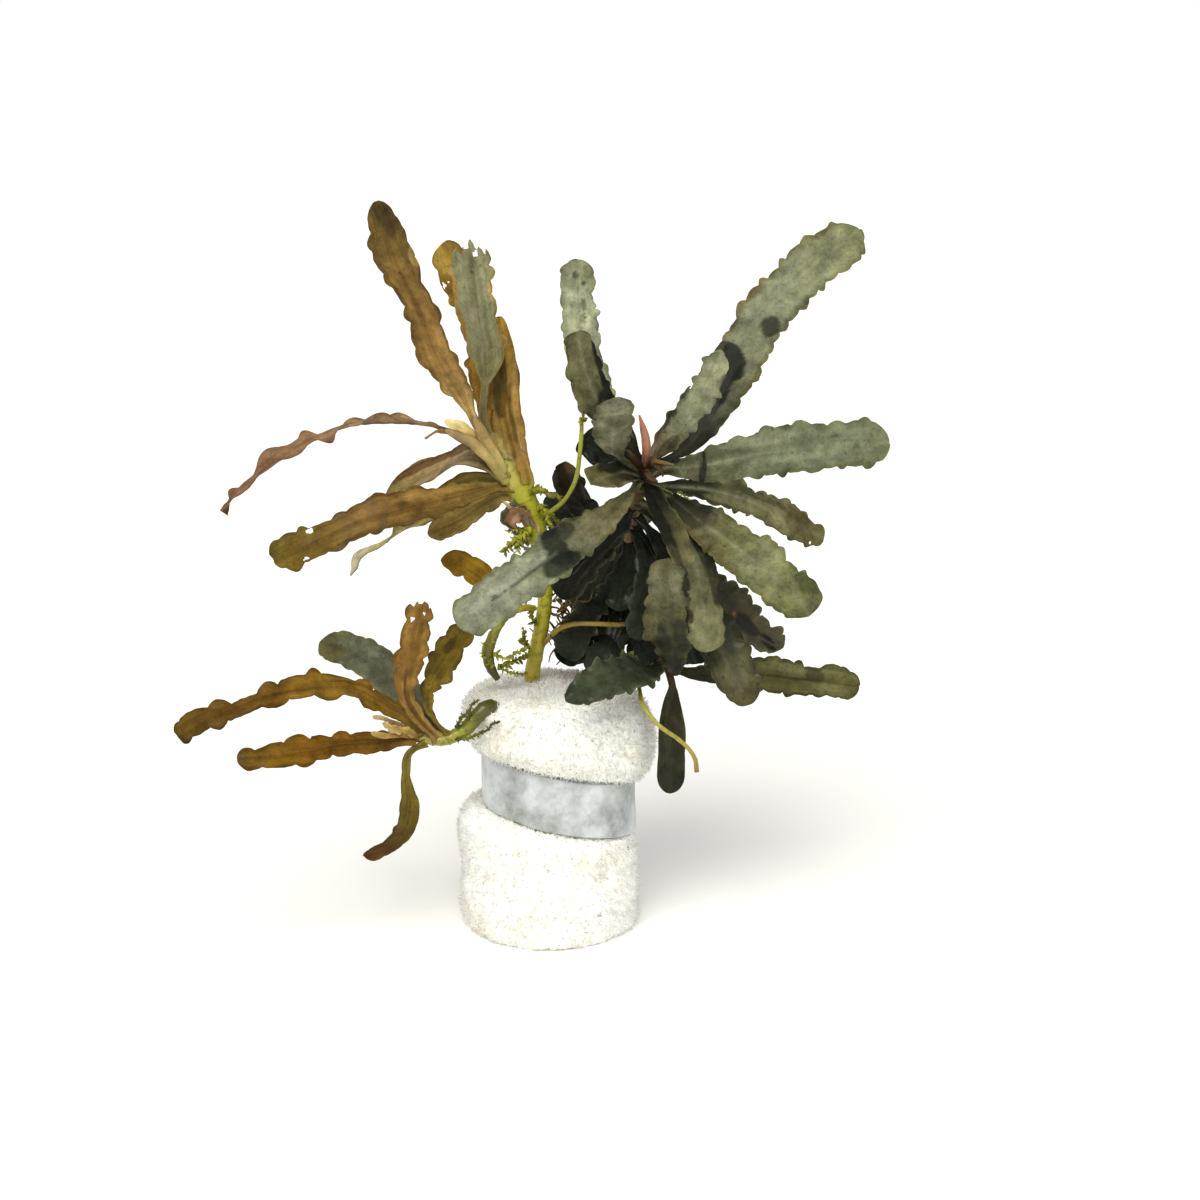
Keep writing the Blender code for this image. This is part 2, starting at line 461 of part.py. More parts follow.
def add_leaf(leaf):
    """A thin blade, thickest on its midrib, whose two margins rise and fall in turn."""
    points = [root_of(leaf)] + [seen(*station) for station in leaf.stations]
    facing = Vector(leaf.facing).normalized()
    segments = max(11, 3 * leaf.ruffles)
    corners = []
    for i in range(segments):
        share = i / segments
        here = smooth(points, share)
        ahead = (smooth(points, share + 0.5 / segments) - smooth(points, max(0.0, share - 0.5 / segments))).normalized()
        side = ahead.cross(facing).normalized()
        normal = side.cross(ahead)
        width = blade_width(leaf, share)
        rise = leaf.ruffle * min(1.0, width / leaf.half_width) if share > 0.2 else 0.0
        wave = 2 * math.pi * leaf.ruffles * share
        half = normal * (BLADE_THICKNESS / 2)
        corners += [
            here - side * width + normal * (rise * math.sin(wave)),
            here + half,
            here + side * width + normal * (rise * math.sin(wave + 2.0)),
            here - half,
        ]
    tip = len(corners)
    corners.append(smooth(points, 1.0))
    faces = [(0, 3, 2), (0, 2, 1)]
    for first in range(0, tip - 4, 4):
        for a, b in ((0, 1), (2, 1), (2, 3), (0, 3)):
            turn = (a, b) in ((0, 1), (2, 3))
            near = (first + a, first + b, first + b + 4)
            far = (first + a, first + b + 4, first + a + 4)
            faces += [near, far] if turn else [near[::-1], far[::-1]]
    last = tip - 4
    faces += [(last, last + 1, tip), (last + 1, last + 2, tip), (last + 2, last + 3, tip), (last + 3, last, tip)]
    return add_solid(leaf.name, corners, faces, leaf.look)


def lean(height, across):
    """How far the strip's lean lifts the plug's waist at this place."""
    near = max(0.0, 1.0 - abs(height - STRIP_MIDDLE) / 12.0)
    return STRIP_LEAN * (across - STRIP_MIDDLE_ACROSS) * min(1.0, 1.6 * near)


def add_plug():
    """The rolled sponge: a soft cylinder, drawn in where the strip holds it, with a socket for each stem."""
    points, faces = [], []
    for height, radius, middle in PLUG_OUTLINE:
        for k in range(PLUG_SIDES):
            turn = 2 * math.pi * k / PLUG_SIDES
            held = abs(height - STRIP_MIDDLE) < STRIP_HEIGHT / 2 + GAP
            reach = radius * (1.0 + (0.0 if held else PLUG_LOBE * math.sin(3 * turn + 0.12 * height)))
            across = middle + reach * math.cos(turn)
            deep = PLUG_DEPTH_SHARE * reach * math.sin(turn)
            points.append(Vector((across, deep, height + lean(height, across))))
    for ring in range(len(PLUG_OUTLINE) - 1):
        for k in range(PLUG_SIDES):
            a, b = ring * PLUG_SIDES + k, ring * PLUG_SIDES + (k + 1) % PLUG_SIDES
            faces.append((a, b, b + PLUG_SIDES, a + PLUG_SIDES))
    faces.append(tuple(range(PLUG_SIDES))[::-1])
    top = len(points)
    points.append(Vector((0.4, 0.0, PLUG_OUTLINE[-1][0] + 1.0)))
    rim = top - PLUG_SIDES
    faces += [(rim + k, rim + (k + 1) % PLUG_SIDES, top) for k in range(PLUG_SIDES)]
    plug = add_solid("sponge_plug", points, faces, "sponge")
    for stem in (STEMS["brown_shoot"], STEMS["crown"], STEMS["side"], ROOTS[2]):
        cutter = mesh_copy(add_stem(stem, grow=GAP, name="socket_" + stem.name))
        cut = plug.modifiers.new(cutter.name, "BOOLEAN")
        cut.operation = "DIFFERENCE"
        cut.object = cutter
    return plug


def mesh_copy(curve_object):
    """Turns a curve object into a hidden mesh cutter, because a Boolean takes only meshes."""
    graph = bpy.context.evaluated_depsgraph_get()
    mesh = bpy.data.meshes.new_from_object(curve_object.evaluated_get(graph))
    bm = bmesh.new()
    bm.from_mesh(mesh)
    bmesh.ops.remove_doubles(bm, verts=bm.verts, dist=0.00001)
    bmesh.ops.recalc_face_normals(bm, faces=bm.faces)
    bm.to_mesh(mesh)
    bm.free()
    cutter = bpy.data.objects.new(curve_object.name + "_cutter", mesh)
    bpy.context.scene.collection.objects.link(cutter)
    bpy.data.objects.remove(curve_object)
    cutter.hide_render = True
    cutter.display_type = "WIRE"
    return cutter


def add_strip():
    """The lead strip: one bent band whose outer end laps over the inner one behind the plug."""
    points, faces = [], []
    whole = 2 * math.pi + STRIP_OVERLAP
    start = math.pi / 2 - STRIP_OVERLAP / 2
    for i in range(STRIP_SEGMENTS + 1):
        turn = whole * i / STRIP_SEGMENTS
        lap = min(1.0, max(0.0, (turn - whole + 2.2 * STRIP_OVERLAP) / STRIP_OVERLAP))
        for out, up in ((0, -0.5), (1, -0.5), (1, 0.5), (0, 0.5)):
            radius = STRIP_RADIUS + lap * (STRIP_THICKNESS + GAP) + out * STRIP_THICKNESS
            across = STRIP_MIDDLE_ACROSS + radius * math.cos(start + turn)
            deep = PLUG_DEPTH_SHARE * radius * math.sin(start + turn)
            height = STRIP_MIDDLE + up * STRIP_HEIGHT + STRIP_LEAN * (across - STRIP_MIDDLE_ACROSS)
            points.append(Vector((across, deep, height)))
    for i in range(STRIP_SEGMENTS):
        for k in range(4):
            a, b = 4 * i + k, 4 * i + (k + 1) % 4
            faces.append((a, b, b + 4, a + 4))
    last = 4 * STRIP_SEGMENTS
    faces += [(3, 2, 1, 0), (last, last + 1, last + 2, last + 3)]
    return add_solid("lead_strip", points, faces, "lead")


def clear_scene():
    for old in list(bpy.data.objects):
        bpy.data.objects.remove(old, do_unlink=True)


def main():
    clear_scene()
    add_plug()
    add_strip()
    for stem in STEMS.values():
        add_stem(stem)
    for root in ROOTS:
        add_stem(root)
    add_stem(SPIKE)
    for leaf in LEAVES:
        add_leaf(leaf)


main()
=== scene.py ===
# %% [markdown]
# # A bunch of bucephalandra
# Bucephalandra is a small plant that creeps over rocks in streams and is grown under water in aquariums. It
# is sold as a bunch: its creeping stems, called rhizomes, are rolled into a plug of white foam, and a strip
# of lead is bent round the plug so that it sinks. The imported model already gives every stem, leaf and root
# its place. This lesson loads it, and then makes each piece again with the shape and the finish that a solid
# can't hold: ruffled blades, foam cells, dull lead, moss.

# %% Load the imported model
import math
import random
from collections import namedtuple

import bmesh
import bpy
import numpy as np
from mathutils import Matrix, Vector, noise


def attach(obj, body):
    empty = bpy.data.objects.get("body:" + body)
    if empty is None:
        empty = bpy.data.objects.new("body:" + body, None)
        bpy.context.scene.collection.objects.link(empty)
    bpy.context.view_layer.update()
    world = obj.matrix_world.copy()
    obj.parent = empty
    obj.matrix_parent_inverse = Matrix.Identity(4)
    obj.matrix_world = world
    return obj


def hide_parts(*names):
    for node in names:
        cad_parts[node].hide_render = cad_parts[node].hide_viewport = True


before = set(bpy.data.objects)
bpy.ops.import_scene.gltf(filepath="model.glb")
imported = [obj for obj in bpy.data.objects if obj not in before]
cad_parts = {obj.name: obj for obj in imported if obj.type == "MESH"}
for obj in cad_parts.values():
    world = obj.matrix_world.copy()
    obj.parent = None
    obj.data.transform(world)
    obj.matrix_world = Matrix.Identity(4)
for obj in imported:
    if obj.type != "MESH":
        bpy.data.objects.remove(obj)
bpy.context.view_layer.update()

MM = 0.001

# %% [markdown]
# ## How the stations are measured
# Leaves and stems were measured as they look from the front: millimetres across and up from the middle of
# the view, and millimetres behind the plug's axis. The view is close, and looks down a little, so a far leaf
# looks smaller. One function turns such a station into a point of the object, and the camera stands at the
# same eye.

# %% From the view to the object
VIEW_TILT = math.radians(12.0)
VIEW_DISTANCE = 270.0
VIEW_MIDDLE = np.array((6.45, 0.0, 42.5))
VIEW_WIDTH = 150.0
AHEAD = np.array((0.0, math.cos(VIEW_TILT), -math.sin(VIEW_TILT)))
UPWARD = np.array((0.0, math.sin(VIEW_TILT), math.cos(VIEW_TILT)))
EYE = VIEW_MIDDLE - AHEAD * VIEW_DISTANCE


def seen(across, up, behind):
    """The point, in mm, that the front view shows at (across, up), this far behind the plug's axis."""
    ray = AHEAD * VIEW_DISTANCE + np.array((across, 0.0, 0.0)) + UPWARD * up
    return EYE + ray * ((behind - EYE[1]) / ray[1])


print("The eye is at", [round(float(c), 1) for c in EYE], "mm")

# %% The camera
SENSOR = 36.0
camera_data = bpy.data.cameras.new("camera")
camera_data.sensor_width = SENSOR
camera_data.lens = SENSOR * VIEW_DISTANCE / VIEW_WIDTH
camera_data.clip_start = 0.01
camera = bpy.data.objects.new("camera", camera_data)
bpy.context.scene.collection.objects.link(camera)
camera.matrix_world = Matrix.Translation(Vector(EYE) * MM) @ Matrix.Rotation(math.pi / 2 - VIEW_TILT, 4, "X")
bpy.context.scene.camera = camera
print("Lens:", round(camera_data.lens, 1), "mm")

# %% [markdown]
# ## Floor and light
# Such a bunch is photographed on white, in light so soft that hardly a shadow falls. A wide white floor runs
# into a white world, one big lamp stands high on the left and a weaker one on the right. The plain Standard
# view keeps white really white, where a film look would turn it grey. The studio is 1.3 times as bright as
# white paper needs, so that the foam is nearly blown out. A tone, which is how a plant looks in that light,
# is divided by the light's level to get the plant's own colour.

# %% Floor, world and lamps
floor_mesh = bpy.data.meshes.new("floor")
floor_mesh.from_pydata([(-3, -3, -1e-5), (3, -3, -1e-5), (3, 3, -1e-5), (-3, 3, -1e-5)], [], [(0, 1, 2, 3)])
floor = bpy.data.objects.new("floor", floor_mesh)
bpy.context.scene.collection.objects.link(floor)


def paint(code, alpha=1.0):
    """An sRGB hex colour as the linear colour that a shader wants."""
    shares = [int(code[i:i + 2], 16) / 255 for i in (1, 3, 5)]
    return (*[c / 12.92 if c <= 0.04045 else ((c + 0.055) / 1.055) ** 2.4 for c in shares], alpha)


LIGHT_LEVEL = 1.3


def tone(code):
    """The own colour of something that looks like this sRGB hex in the studio's light."""
    return (*[share / LIGHT_LEVEL for share in paint(code)[:3]], 1.0)


world = bpy.data.worlds.new("white_studio")
world.use_nodes = True
tree = world.node_tree
backdrop = tree.nodes["Background"]
backdrop.inputs["Color"].default_value = paint("#FFFFFF")
glow = tree.nodes.new("ShaderNodeBackground")
glow.inputs["Color"].default_value = paint("#FFFEFA")
glow.inputs["Strength"].default_value = 0.58
rays, either = tree.nodes.new("ShaderNodeLightPath"), tree.nodes.new("ShaderNodeMixShader")
tree.links.new(rays.outputs["Is Camera Ray"], either.inputs["Fac"])
tree.links.new(glow.outputs["Background"], either.inputs[1])
tree.links.new(backdrop.outputs["Background"], either.inputs[2])
tree.links.new(either.outputs["Shader"], tree.nodes["World Output"].inputs["Surface"])
bpy.context.scene.world = world
bpy.context.scene.view_settings.view_transform = "Standard"

Lamp = namedtuple("Lamp", "name azimuth height softness strength tint")
LAMPS = (
    Lamp("key", -14, 46, 40, 2.7, "#FFFDF4"),
    Lamp("fill", 60, 30, 60, 0.45, "#F6F9FF"),
)
for lamp in LAMPS:
    data = bpy.data.lights.new(lamp.name, "SUN")
    data.angle, data.energy, data.color = math.radians(lamp.softness), lamp.strength, paint(lamp.tint)[:3]
    made = bpy.data.objects.new(lamp.name, data)
    bpy.context.scene.collection.objects.link(made)
    made.rotation_euler = (math.radians(90 - lamp.height), 0.0, math.radians(lamp.azimuth))
print("Lamps:", [lamp.name for lamp in LAMPS])

# %% [markdown]
# ## One helper for every node tree
# Materials and Geometry Nodes are both trees of nodes. One function adds a node, sets its options and fills
# or links its inputs, so that a tree reads from top to bottom like a recipe. Most nodes here do sums on
# numbers or on vectors, so those two kinds have short names.

# %% Adding a node
MATH, VECTORS = "ShaderNodeMath", "ShaderNodeVectorMath"


def add(tree, kind, inputs=(), operation=None, stops=(), **options):
    """Adds a node with its settings and links, and returns its outputs.

    Inputs are given in their order or by name, each as a value or as another node's output. A colour ramp
    also has stops, as (place, colour).
    """
    made = tree.nodes.new(kind)
    if operation:
        made.operation = operation
    for name, value in options.items():
        setattr(made, name, value)
    for key, value in inputs.items() if isinstance(inputs, dict) else enumerate(inputs):
        if isinstance(value, bpy.types.NodeSocket):
            tree.links.new(value, made.inputs[key])
        else:
            made.inputs[key].default_value = value
    if stops:
        while len(made.color_ramp.elements) < len(stops):
            made.color_ramp.elements.new(0.5)
        for element, (place, colour) in zip(made.color_ramp.elements, stops):
            element.position, element.color = place, colour
    return made.outputs


def new_tree(name, output, **inputs):
    """A Geometry Nodes tree with these named inputs and one geometry output, and its input node's outputs."""
    tree = bpy.data.node_groups.new(name, "GeometryNodeTree")
    for key, kind in inputs.items():
        tree.interface.new_socket(key.replace("_", " "), in_out="INPUT", socket_type="NodeSocket" + kind)
    tree.interface.new_socket(output, in_out="OUTPUT", socket_type="NodeSocketGeometry")
    return tree, add(tree, "NodeGroupInput")


def end_tree(tree, geometry, finish):
    """Ends a tree: instances become real mesh, and the mesh gets its material."""
    whole = add(tree, "GeometryNodeRealizeInstances", (geometry,))
    done = add(tree, "GeometryNodeSetMaterial", {"Geometry": whole[0], "Material": finish})
    add(tree, "NodeGroupOutput", (done[0],))
    return tree


def new_finish(name, **plain):
    """A material with one Principled shader, whose plain values are set on its own sockets."""
    finish = bpy.data.materials.new(name)
    finish.use_nodes = True
    shader = finish.node_tree.nodes["Principled BSDF"]
    for key, value in plain.items():
        shader.inputs[key.replace("_", " ")].default_value = value
    return finish, finish.node_tree, shader


floor_finish, tree, shader = new_finish("white_studio_floor", Base_Color=paint("#FBFBFA"), Roughness=0.85)
grain = add(tree, "ShaderNodeTexNoise", {"Scale": 900.0, "Detail": 3.0})
bump = add(tree, "ShaderNodeBump", {"Strength": 0.05, "Distance": 0.0001, "Height": grain["Fac"]})
tree.links.new(bump["Normal"], shader.inputs["Normal"])
floor_mesh.materials.append(floor_finish)


def link_piece(name, mesh, finish, node_names):
    """Links a finished mesh as a piece that rides on the plant and stands for these nodes of the model."""
    mesh.name = name
    mesh.materials.clear()
    mesh.materials.append(finish)
    piece = bpy.data.objects.new(name, mesh)
    bpy.context.scene.collection.objects.link(piece)
    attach(piece, "root")
    if node_names:
        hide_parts(*node_names)
    return piece

# %% [markdown]
# ## The foam plug
# The plug is a strip of open-cell foam rolled round the stems: a soft cylinder that bulges above and below
# the lead. Its surface is cut right through the cells, so it is all pits and little struts, and its outline
# is fuzzy. A bump map can't give that outline. So the body is made first as a smooth closed mesh, and a
# Geometry Nodes tree then fills it with matter by a rule, as a foam is: matter everywhere inside the body,
# except near the skin, where a point that is close to a cell's middle is left empty.

# %% The plug's smooth body
PLUG_OUTLINE = (
    (0.0, 10.3, 0.0), (0.8, 10.9, 0.0), (4.5, 11.1, -0.1), (9.0, 10.9, -0.3), (12.6, 11.0, -0.6),
    (14.2, 10.4, 0.2), (14.6, 8.6, 1.2), (22.1, 8.6, 1.2), (22.5, 10.6, 1.1), (24.2, 11.7, 1.2),
    (26.6, 12.0, 1.3), (29.4, 11.2, 0.9), (30.9, 9.6, 0.5), (31.5, 8.0, 0.5), (31.8, 4.5, 0.4),
    (31.9, 0.6, 0.4),
)
PLUG_DEPTH_SHARE = 0.94
PLUG_SIDES = 96
STRIP_HEIGHT, STRIP_THICKNESS, STRIP_MIDDLE, STRIP_LEAN = 7.0, 0.8, 18.35, -0.2
STRIP_RADIUS, STRIP_MIDDLE_ACROSS, STRIP_OVERLAP = 8.95, 1.2, math.radians(32.0)
GAP = 0.35


def lump(point, size, seed=0.0):
    """Soft random bumps of about this size: a number from -1 to 1."""
    return noise.noise(Vector(point) / size + Vector((seed, 1.7 * seed, -seed)))


def plug_body():
    """The rolled foam without its cells: rings along the outline, drawn in under the strip, with lumps."""
    table = np.array(PLUG_OUTLINE)
    heights = np.unique(np.round(np.concatenate([np.arange(0.0, 31.5, 0.7), table[:, 0]]), 3))
    bm = bmesh.new()
    rings = []
    for height in heights:
        radius, middle = (np.interp(height, table[:, 0], table[:, column]) for column in (1, 2))
        held = abs(height - STRIP_MIDDLE) < STRIP_HEIGHT / 2 + GAP
        ring = []
        for k in range(PLUG_SIDES):
            turn = 2 * math.pi * k / PLUG_SIDES
            lobe = 0.0 if held else 0.025 * math.sin(3 * turn + 0.12 * height)
            around = (12 * math.cos(turn), 12 * math.sin(turn), height)
            rough = 0.0 if held else 0.45 * lump(around, 4.0) + 0.2 * lump(around, 1.7, 3.0)
            lip = 1.5 * math.exp(-((turn - 4.05) / 0.2) ** 2 - ((height - 29.6) / 1.8) ** 2)
            reach = max(0.3, radius * (1.0 + lobe) + rough * min(1.0, radius / 8.0) + lip)
            across = middle + reach * math.cos(turn)
            near = max(0.0, 1.0 - abs(height - STRIP_MIDDLE) / 12.0)
            lift = STRIP_LEAN * (across - STRIP_MIDDLE_ACROSS) * min(1.0, 1.6 * near)
            top = 0.5 * lump((across, reach * math.sin(turn), 0.0), 2.6, 5.0) if height > 31.0 else 0.0
            back = PLUG_DEPTH_SHARE * reach * math.sin(turn)
            ring.append(bm.verts.new((across, back, height + lift + top)))
        rings.append(ring)
    for low, high in zip(rings, rings[1:]):
        for k in range(PLUG_SIDES):
            after = (k + 1) % PLUG_SIDES
            bm.faces.new((low[k], low[after], high[after], high[k]))
    bm.faces.new(rings[0][::-1])
    bm.faces.new(rings[-1])
    bmesh.ops.scale(bm, vec=(MM, MM, MM), verts=bm.verts)
    mesh = bpy.data.meshes.new("plug_body")
    bm.to_mesh(mesh)
    bm.free()
    mesh.shade_smooth()
    return mesh


body = plug_body()
print("Body:", len(body.vertices), "vertices")

# %% [markdown]
# ## The rule for the cells
# A Voronoi texture gives each point its distance to the nearest cell middle. Where cells about 0.6 mm wide
# overlap, the round holes open into each other, and only struts stay between them. The rule is read on a
# grid of points, as a field, and Volume to Mesh draws the skin where matter ends. The foam's core is left
# whole, because nobody sees so deep. The strip's band keeps its skin too, because the lead lies on it. The
# finest cut ends are thinner than the grid can show, so the same tree sets small three-sided spikes on the
# skin, each leaning its own way. They make the outline fuzzy.

# %% The foam's tree
CELL = 0.62
SPIKES = 0.45
HOLE = 0.22
SKIN = 0.5
VOXEL = 0.2
STRUTS_PER_SQUARE_MM = 9.0
STRUT_LENGTH = 1.15


def foam_tree():
    tree, given = new_tree(
        "open_cell_foam", "Foam", Body="Geometry", Strut="Object", Cell_size="Float", Hole_share="Float",
        Skin_depth="Float", Voxel="Float", Band_low="Float", Band_high="Float", Spikes="Float",
        Struts="Float", Strut_length="Float", Finish="Material")

    # How deep a point is inside the body: its distance to the body's skin, negative outside
    place = add(tree, "GeometryNodeInputPosition")[0]
    nearest = add(tree, "GeometryNodeProximity", {"Geometry": given["Body"]}, target_element="FACES")
    normal = add(tree, "GeometryNodeInputNormal")[0]
    skin = add(tree, "GeometryNodeSampleNearestSurface", {"Mesh": given["Body"], "Value": normal},
               data_type="FLOAT_VECTOR")
    away = add(tree, VECTORS, (nearest["Position"], place), "SUBTRACT")[0]
    facing = add(tree, VECTORS, (away, skin["Value"]), "DOT_PRODUCT")["Value"]
    inward = add(tree, MATH, (facing,), "SIGN")[0]
    depth = add(tree, MATH, (inward, nearest["Distance"]), "MULTIPLY")[0]

    # Matter is where a point is far from every cell's middle, or deeper than the skin, or under the strip
    bend = add(tree, "ShaderNodeTexNoise", {"Vector": place, "Scale": 300.0, "Detail": 1.0})
    bent = add(tree, VECTORS, (bend["Color"], (0.0006, 0.0006, 0.0006), place), "MULTIPLY_ADD")[0]
    fine = add(tree, MATH, (1.0, given["Cell size"]), "DIVIDE")[0]
    cells = add(tree, "ShaderNodeTexVoronoi", {"Vector": bent, "Scale": fine, "Randomness": 0.85},
                feature="F1")
    apart = add(tree, MATH, (cells["Distance"], given["Hole share"]), "SUBTRACT")[0]
    strut = add(tree, MATH, (apart, given["Cell size"]), "MULTIPLY")[0]
    core = add(tree, MATH, (depth, given["Skin depth"]), "SUBTRACT")[0]
    apart = add(tree, "ShaderNodeSeparateXYZ", (place,))
    aside = add(tree, MATH, (apart["X"], STRIP_MIDDLE_ACROSS * MM), "SUBTRACT")[0]
    lean = add(tree, MATH, (aside, -STRIP_LEAN, apart["Z"]), "MULTIPLY_ADD")[0]
    above = add(tree, MATH, (lean, given["Band low"]), "GREATER_THAN")[0]
    below = add(tree, MATH, (lean, given["Band high"]), "LESS_THAN")[0]
    in_band = add(tree, MATH, (above, below), "MULTIPLY")[0]
    band = add(tree, MATH, (in_band, 0.002, -0.001), "MULTIPLY_ADD")[0]
    pit = add(tree, MATH, (cells["Distance"], 0.5), "SUBTRACT")[0]
    spiked = add(tree, MATH, (pit, given["Spikes"], depth), "MULTIPLY_ADD")[0]
    matter = add(tree, MATH, (strut, core), "MAXIMUM")[0]
    matter = add(tree, MATH, (matter, band), "MAXIMUM")[0]
    matter = add(tree, MATH, (spiked, matter), "MINIMUM")[0]
    share = add(tree, MATH, (matter, given["Voxel"]), "DIVIDE")[0]
    share = add(tree, MATH, (share, 0.5), "ADD", use_clamp=True)[0]

    # The field is read on a grid round the body, and the skin is drawn where it is one half
    box = add(tree, "GeometryNodeBoundBox", {"Geometry": given["Body"]})
    low = add(tree, VECTORS, (box["Min"], (-MM, -MM, -MM)), "ADD")[0]
    high = add(tree, VECTORS, (box["Max"], (MM, MM, MM)), "ADD")[0]
    span = add(tree, "ShaderNodeSeparateXYZ", (add(tree, VECTORS, (high, low), "SUBTRACT")[0],))
    steps = [add(tree, MATH, (span[axis], given["Voxel"]), "DIVIDE")[0] for axis in "XYZ"]
    cloud = add(tree, "GeometryNodeVolumeCube", {
        "Density": share, "Background": 0.0, "Min": low, "Max": high,
        "Resolution X": steps[0], "Resolution Y": steps[1], "Resolution Z": steps[2]})
    drawn = add(tree, "GeometryNodeVolumeToMesh", {"Volume": cloud[0], "Threshold": 0.5, "Adaptivity": 0.1})

    # Cut ends of struts stand on the body's skin, each leaning its own way, but not under the strip or
    # under the plug, where they would reach through the floor
    bare = add(tree, MATH, (1.0, in_band), "SUBTRACT")[0]
    raised = add(tree, MATH, (apart["Z"], 0.0006), "GREATER_THAN")[0]
    free = add(tree, MATH, (bare, raised), "MULTIPLY")[0]
    density = add(tree, MATH, (given["Struts"], free), "MULTIPLY")[0]
    spots = add(tree, "GeometryNodeDistributePointsOnFaces",
                {"Mesh": given["Body"], "Density": density, "Seed": 4})
    sway = add(tree, "FunctionNodeRandomValue", ((-0.8, -0.8, 0.0), (0.8, 0.8, 6.0)),
               data_type="FLOAT_VECTOR")[0]
    leaning = add(tree, "FunctionNodeRotateRotation", {"Rotation": spots["Rotation"], "Rotate By": sway},
                  rotation_space="LOCAL")[0]
    length = add(tree, "FunctionNodeRandomValue", {2: 0.55, 3: 1.15}, data_type="FLOAT")[1]
    tall = add(tree, MATH, (length, given["Strut length"]), "MULTIPLY")[0]
    strut = add(tree, "GeometryNodeObjectInfo", {"Object": given["Strut"]})["Geometry"]
    fringe = add(tree, "GeometryNodeInstanceOnPoints", {"Points": spots["Points"], "Instance": strut,
                                                          "Rotation": leaning, "Scale": tall})
    both = add(tree, "GeometryNodeJoinGeometry", (drawn[0],))
    tree.links.new(fringe[0], tree.nodes[-1].inputs["Geometry"])
    return end_tree(tree, both[0], given["Finish"])


def strut_mesh():
    """One cut strut end: a thin three-sided spike, one unit tall, with its foot a little below the origin."""
    corners = [(0.11 * math.cos(a), 0.11 * math.sin(a), -0.3) for a in (0.0, 2.1, 4.2)] + [(0.0, 0.0, 0.7)]
    mesh = bpy.data.meshes.new("strut")
    mesh.from_pydata(corners, [], [(0, 2, 1), (0, 1, 3), (1, 2, 3), (2, 0, 3)])
    return mesh


def grow(name, source, tree, **values):
    """Runs a Geometry Nodes tree on this data and returns the plain mesh that it makes."""
    carrier = bpy.data.objects.new(name, source)
    bpy.context.scene.collection.objects.link(carrier)
    modifier = carrier.modifiers.new(name, "NODES")
    modifier.node_group = tree
    sockets = {s.name: s.identifier for s in tree.interface.items_tree if s.in_out == "INPUT"}
    for key, value in values.items():
        modifier[sockets[key.replace("_", " ")]] = value
    graph = bpy.context.evaluated_depsgraph_get()
    mesh = bpy.data.meshes.new_from_object(carrier.evaluated_get(graph))
    bpy.data.objects.remove(carrier)
    return mesh


def count(mesh):
    """How many triangles a mesh has."""
    return sum(len(face.vertices) - 2 for face in mesh.polygons)


# %% [markdown]
# ## Foam finish
# It is white polyurethane foam, a little yellowed, cut with a knife. Such foam is dull, and light goes
# through its struts, so its pits look warm and not grey. A little scattering under the surface gives that.
# Here and there a cell holds a crumb of dirt.

# %% Foam: material and mesh
foam_finish, tree, shader = new_finish(
    "cut_polyurethane_foam", Roughness=0.9, Subsurface_Weight=0.3,
    Subsurface_Radius=(1.0, 0.85, 0.65), Subsurface_Scale=0.0004)
place = add(tree, "ShaderNodeTexCoord")["Object"]
cloudy = add(tree, "ShaderNodeTexNoise", {"Vector": place, "Scale": 160.0, "Detail": 4.0})
tint = add(tree, "ShaderNodeValToRGB", {"Fac": cloudy["Fac"]}, stops=[
    (0.3, paint("#F8F3E6")), (0.5, paint("#FDFBF4")), (0.7, paint("#FFFFFC"))])["Color"]
crumbs = add(tree, "ShaderNodeTexVoronoi", {"Vector": place, "Scale": 420.0, "Randomness": 1.0}, feature="F1")
rare = add(tree, "ShaderNodeTexNoise", {"Vector": place, "Scale": 90.0, "Detail": 2.0})
dirty = add(tree, MATH, (crumbs["Distance"], 0.12), "LESS_THAN")[0]
spot = add(tree, MATH, (rare["Fac"], 0.62), "GREATER_THAN")[0]
speck = add(tree, MATH, (dirty, spot), "MULTIPLY")[0]
mixed = add(tree, "ShaderNodeMix", {"Factor": speck, "A": tint, "B": paint("#5C5A44")}, data_type="RGBA")
tree.links.new(mixed[2], shader.inputs["Base Color"])

strut = bpy.data.objects.new("strut", strut_mesh())
bpy.context.scene.collection.objects.link(strut)
foam = grow("foam", body, foam_tree(), Strut=strut, Struts=STRUTS_PER_SQUARE_MM / MM**2,
            Strut_length=STRUT_LENGTH * MM, Cell_size=CELL * MM, Hole_share=HOLE, Skin_depth=SKIN * MM,
            Voxel=VOXEL * MM, Spikes=SPIKES * MM, Band_low=(STRIP_MIDDLE - STRIP_HEIGHT / 2) * MM,
            Band_high=(STRIP_MIDDLE + STRIP_HEIGHT / 2) * MM, Finish=foam_finish)
foam.shade_smooth()
bpy.data.objects.remove(strut)
plug = link_piece("foam_plug", foam, foam_finish, ["sponge_plug"])
print("Foam:", count(foam), "triangles")

# %% [markdown]
# ## The lead strip
# Plant weights are cut from soft sheet lead, 0.8 mm thick and 7 mm wide, and bent round by hand, so the band
# is never quite even: it has shallow dents, a slightly wavy edge, and one end that laps over the other
# behind. A rounded section is carried round the plug, and soft noise moves it in and out.

# %% The bent strip
STRIP_STEPS = 220
CORNER = 0.16


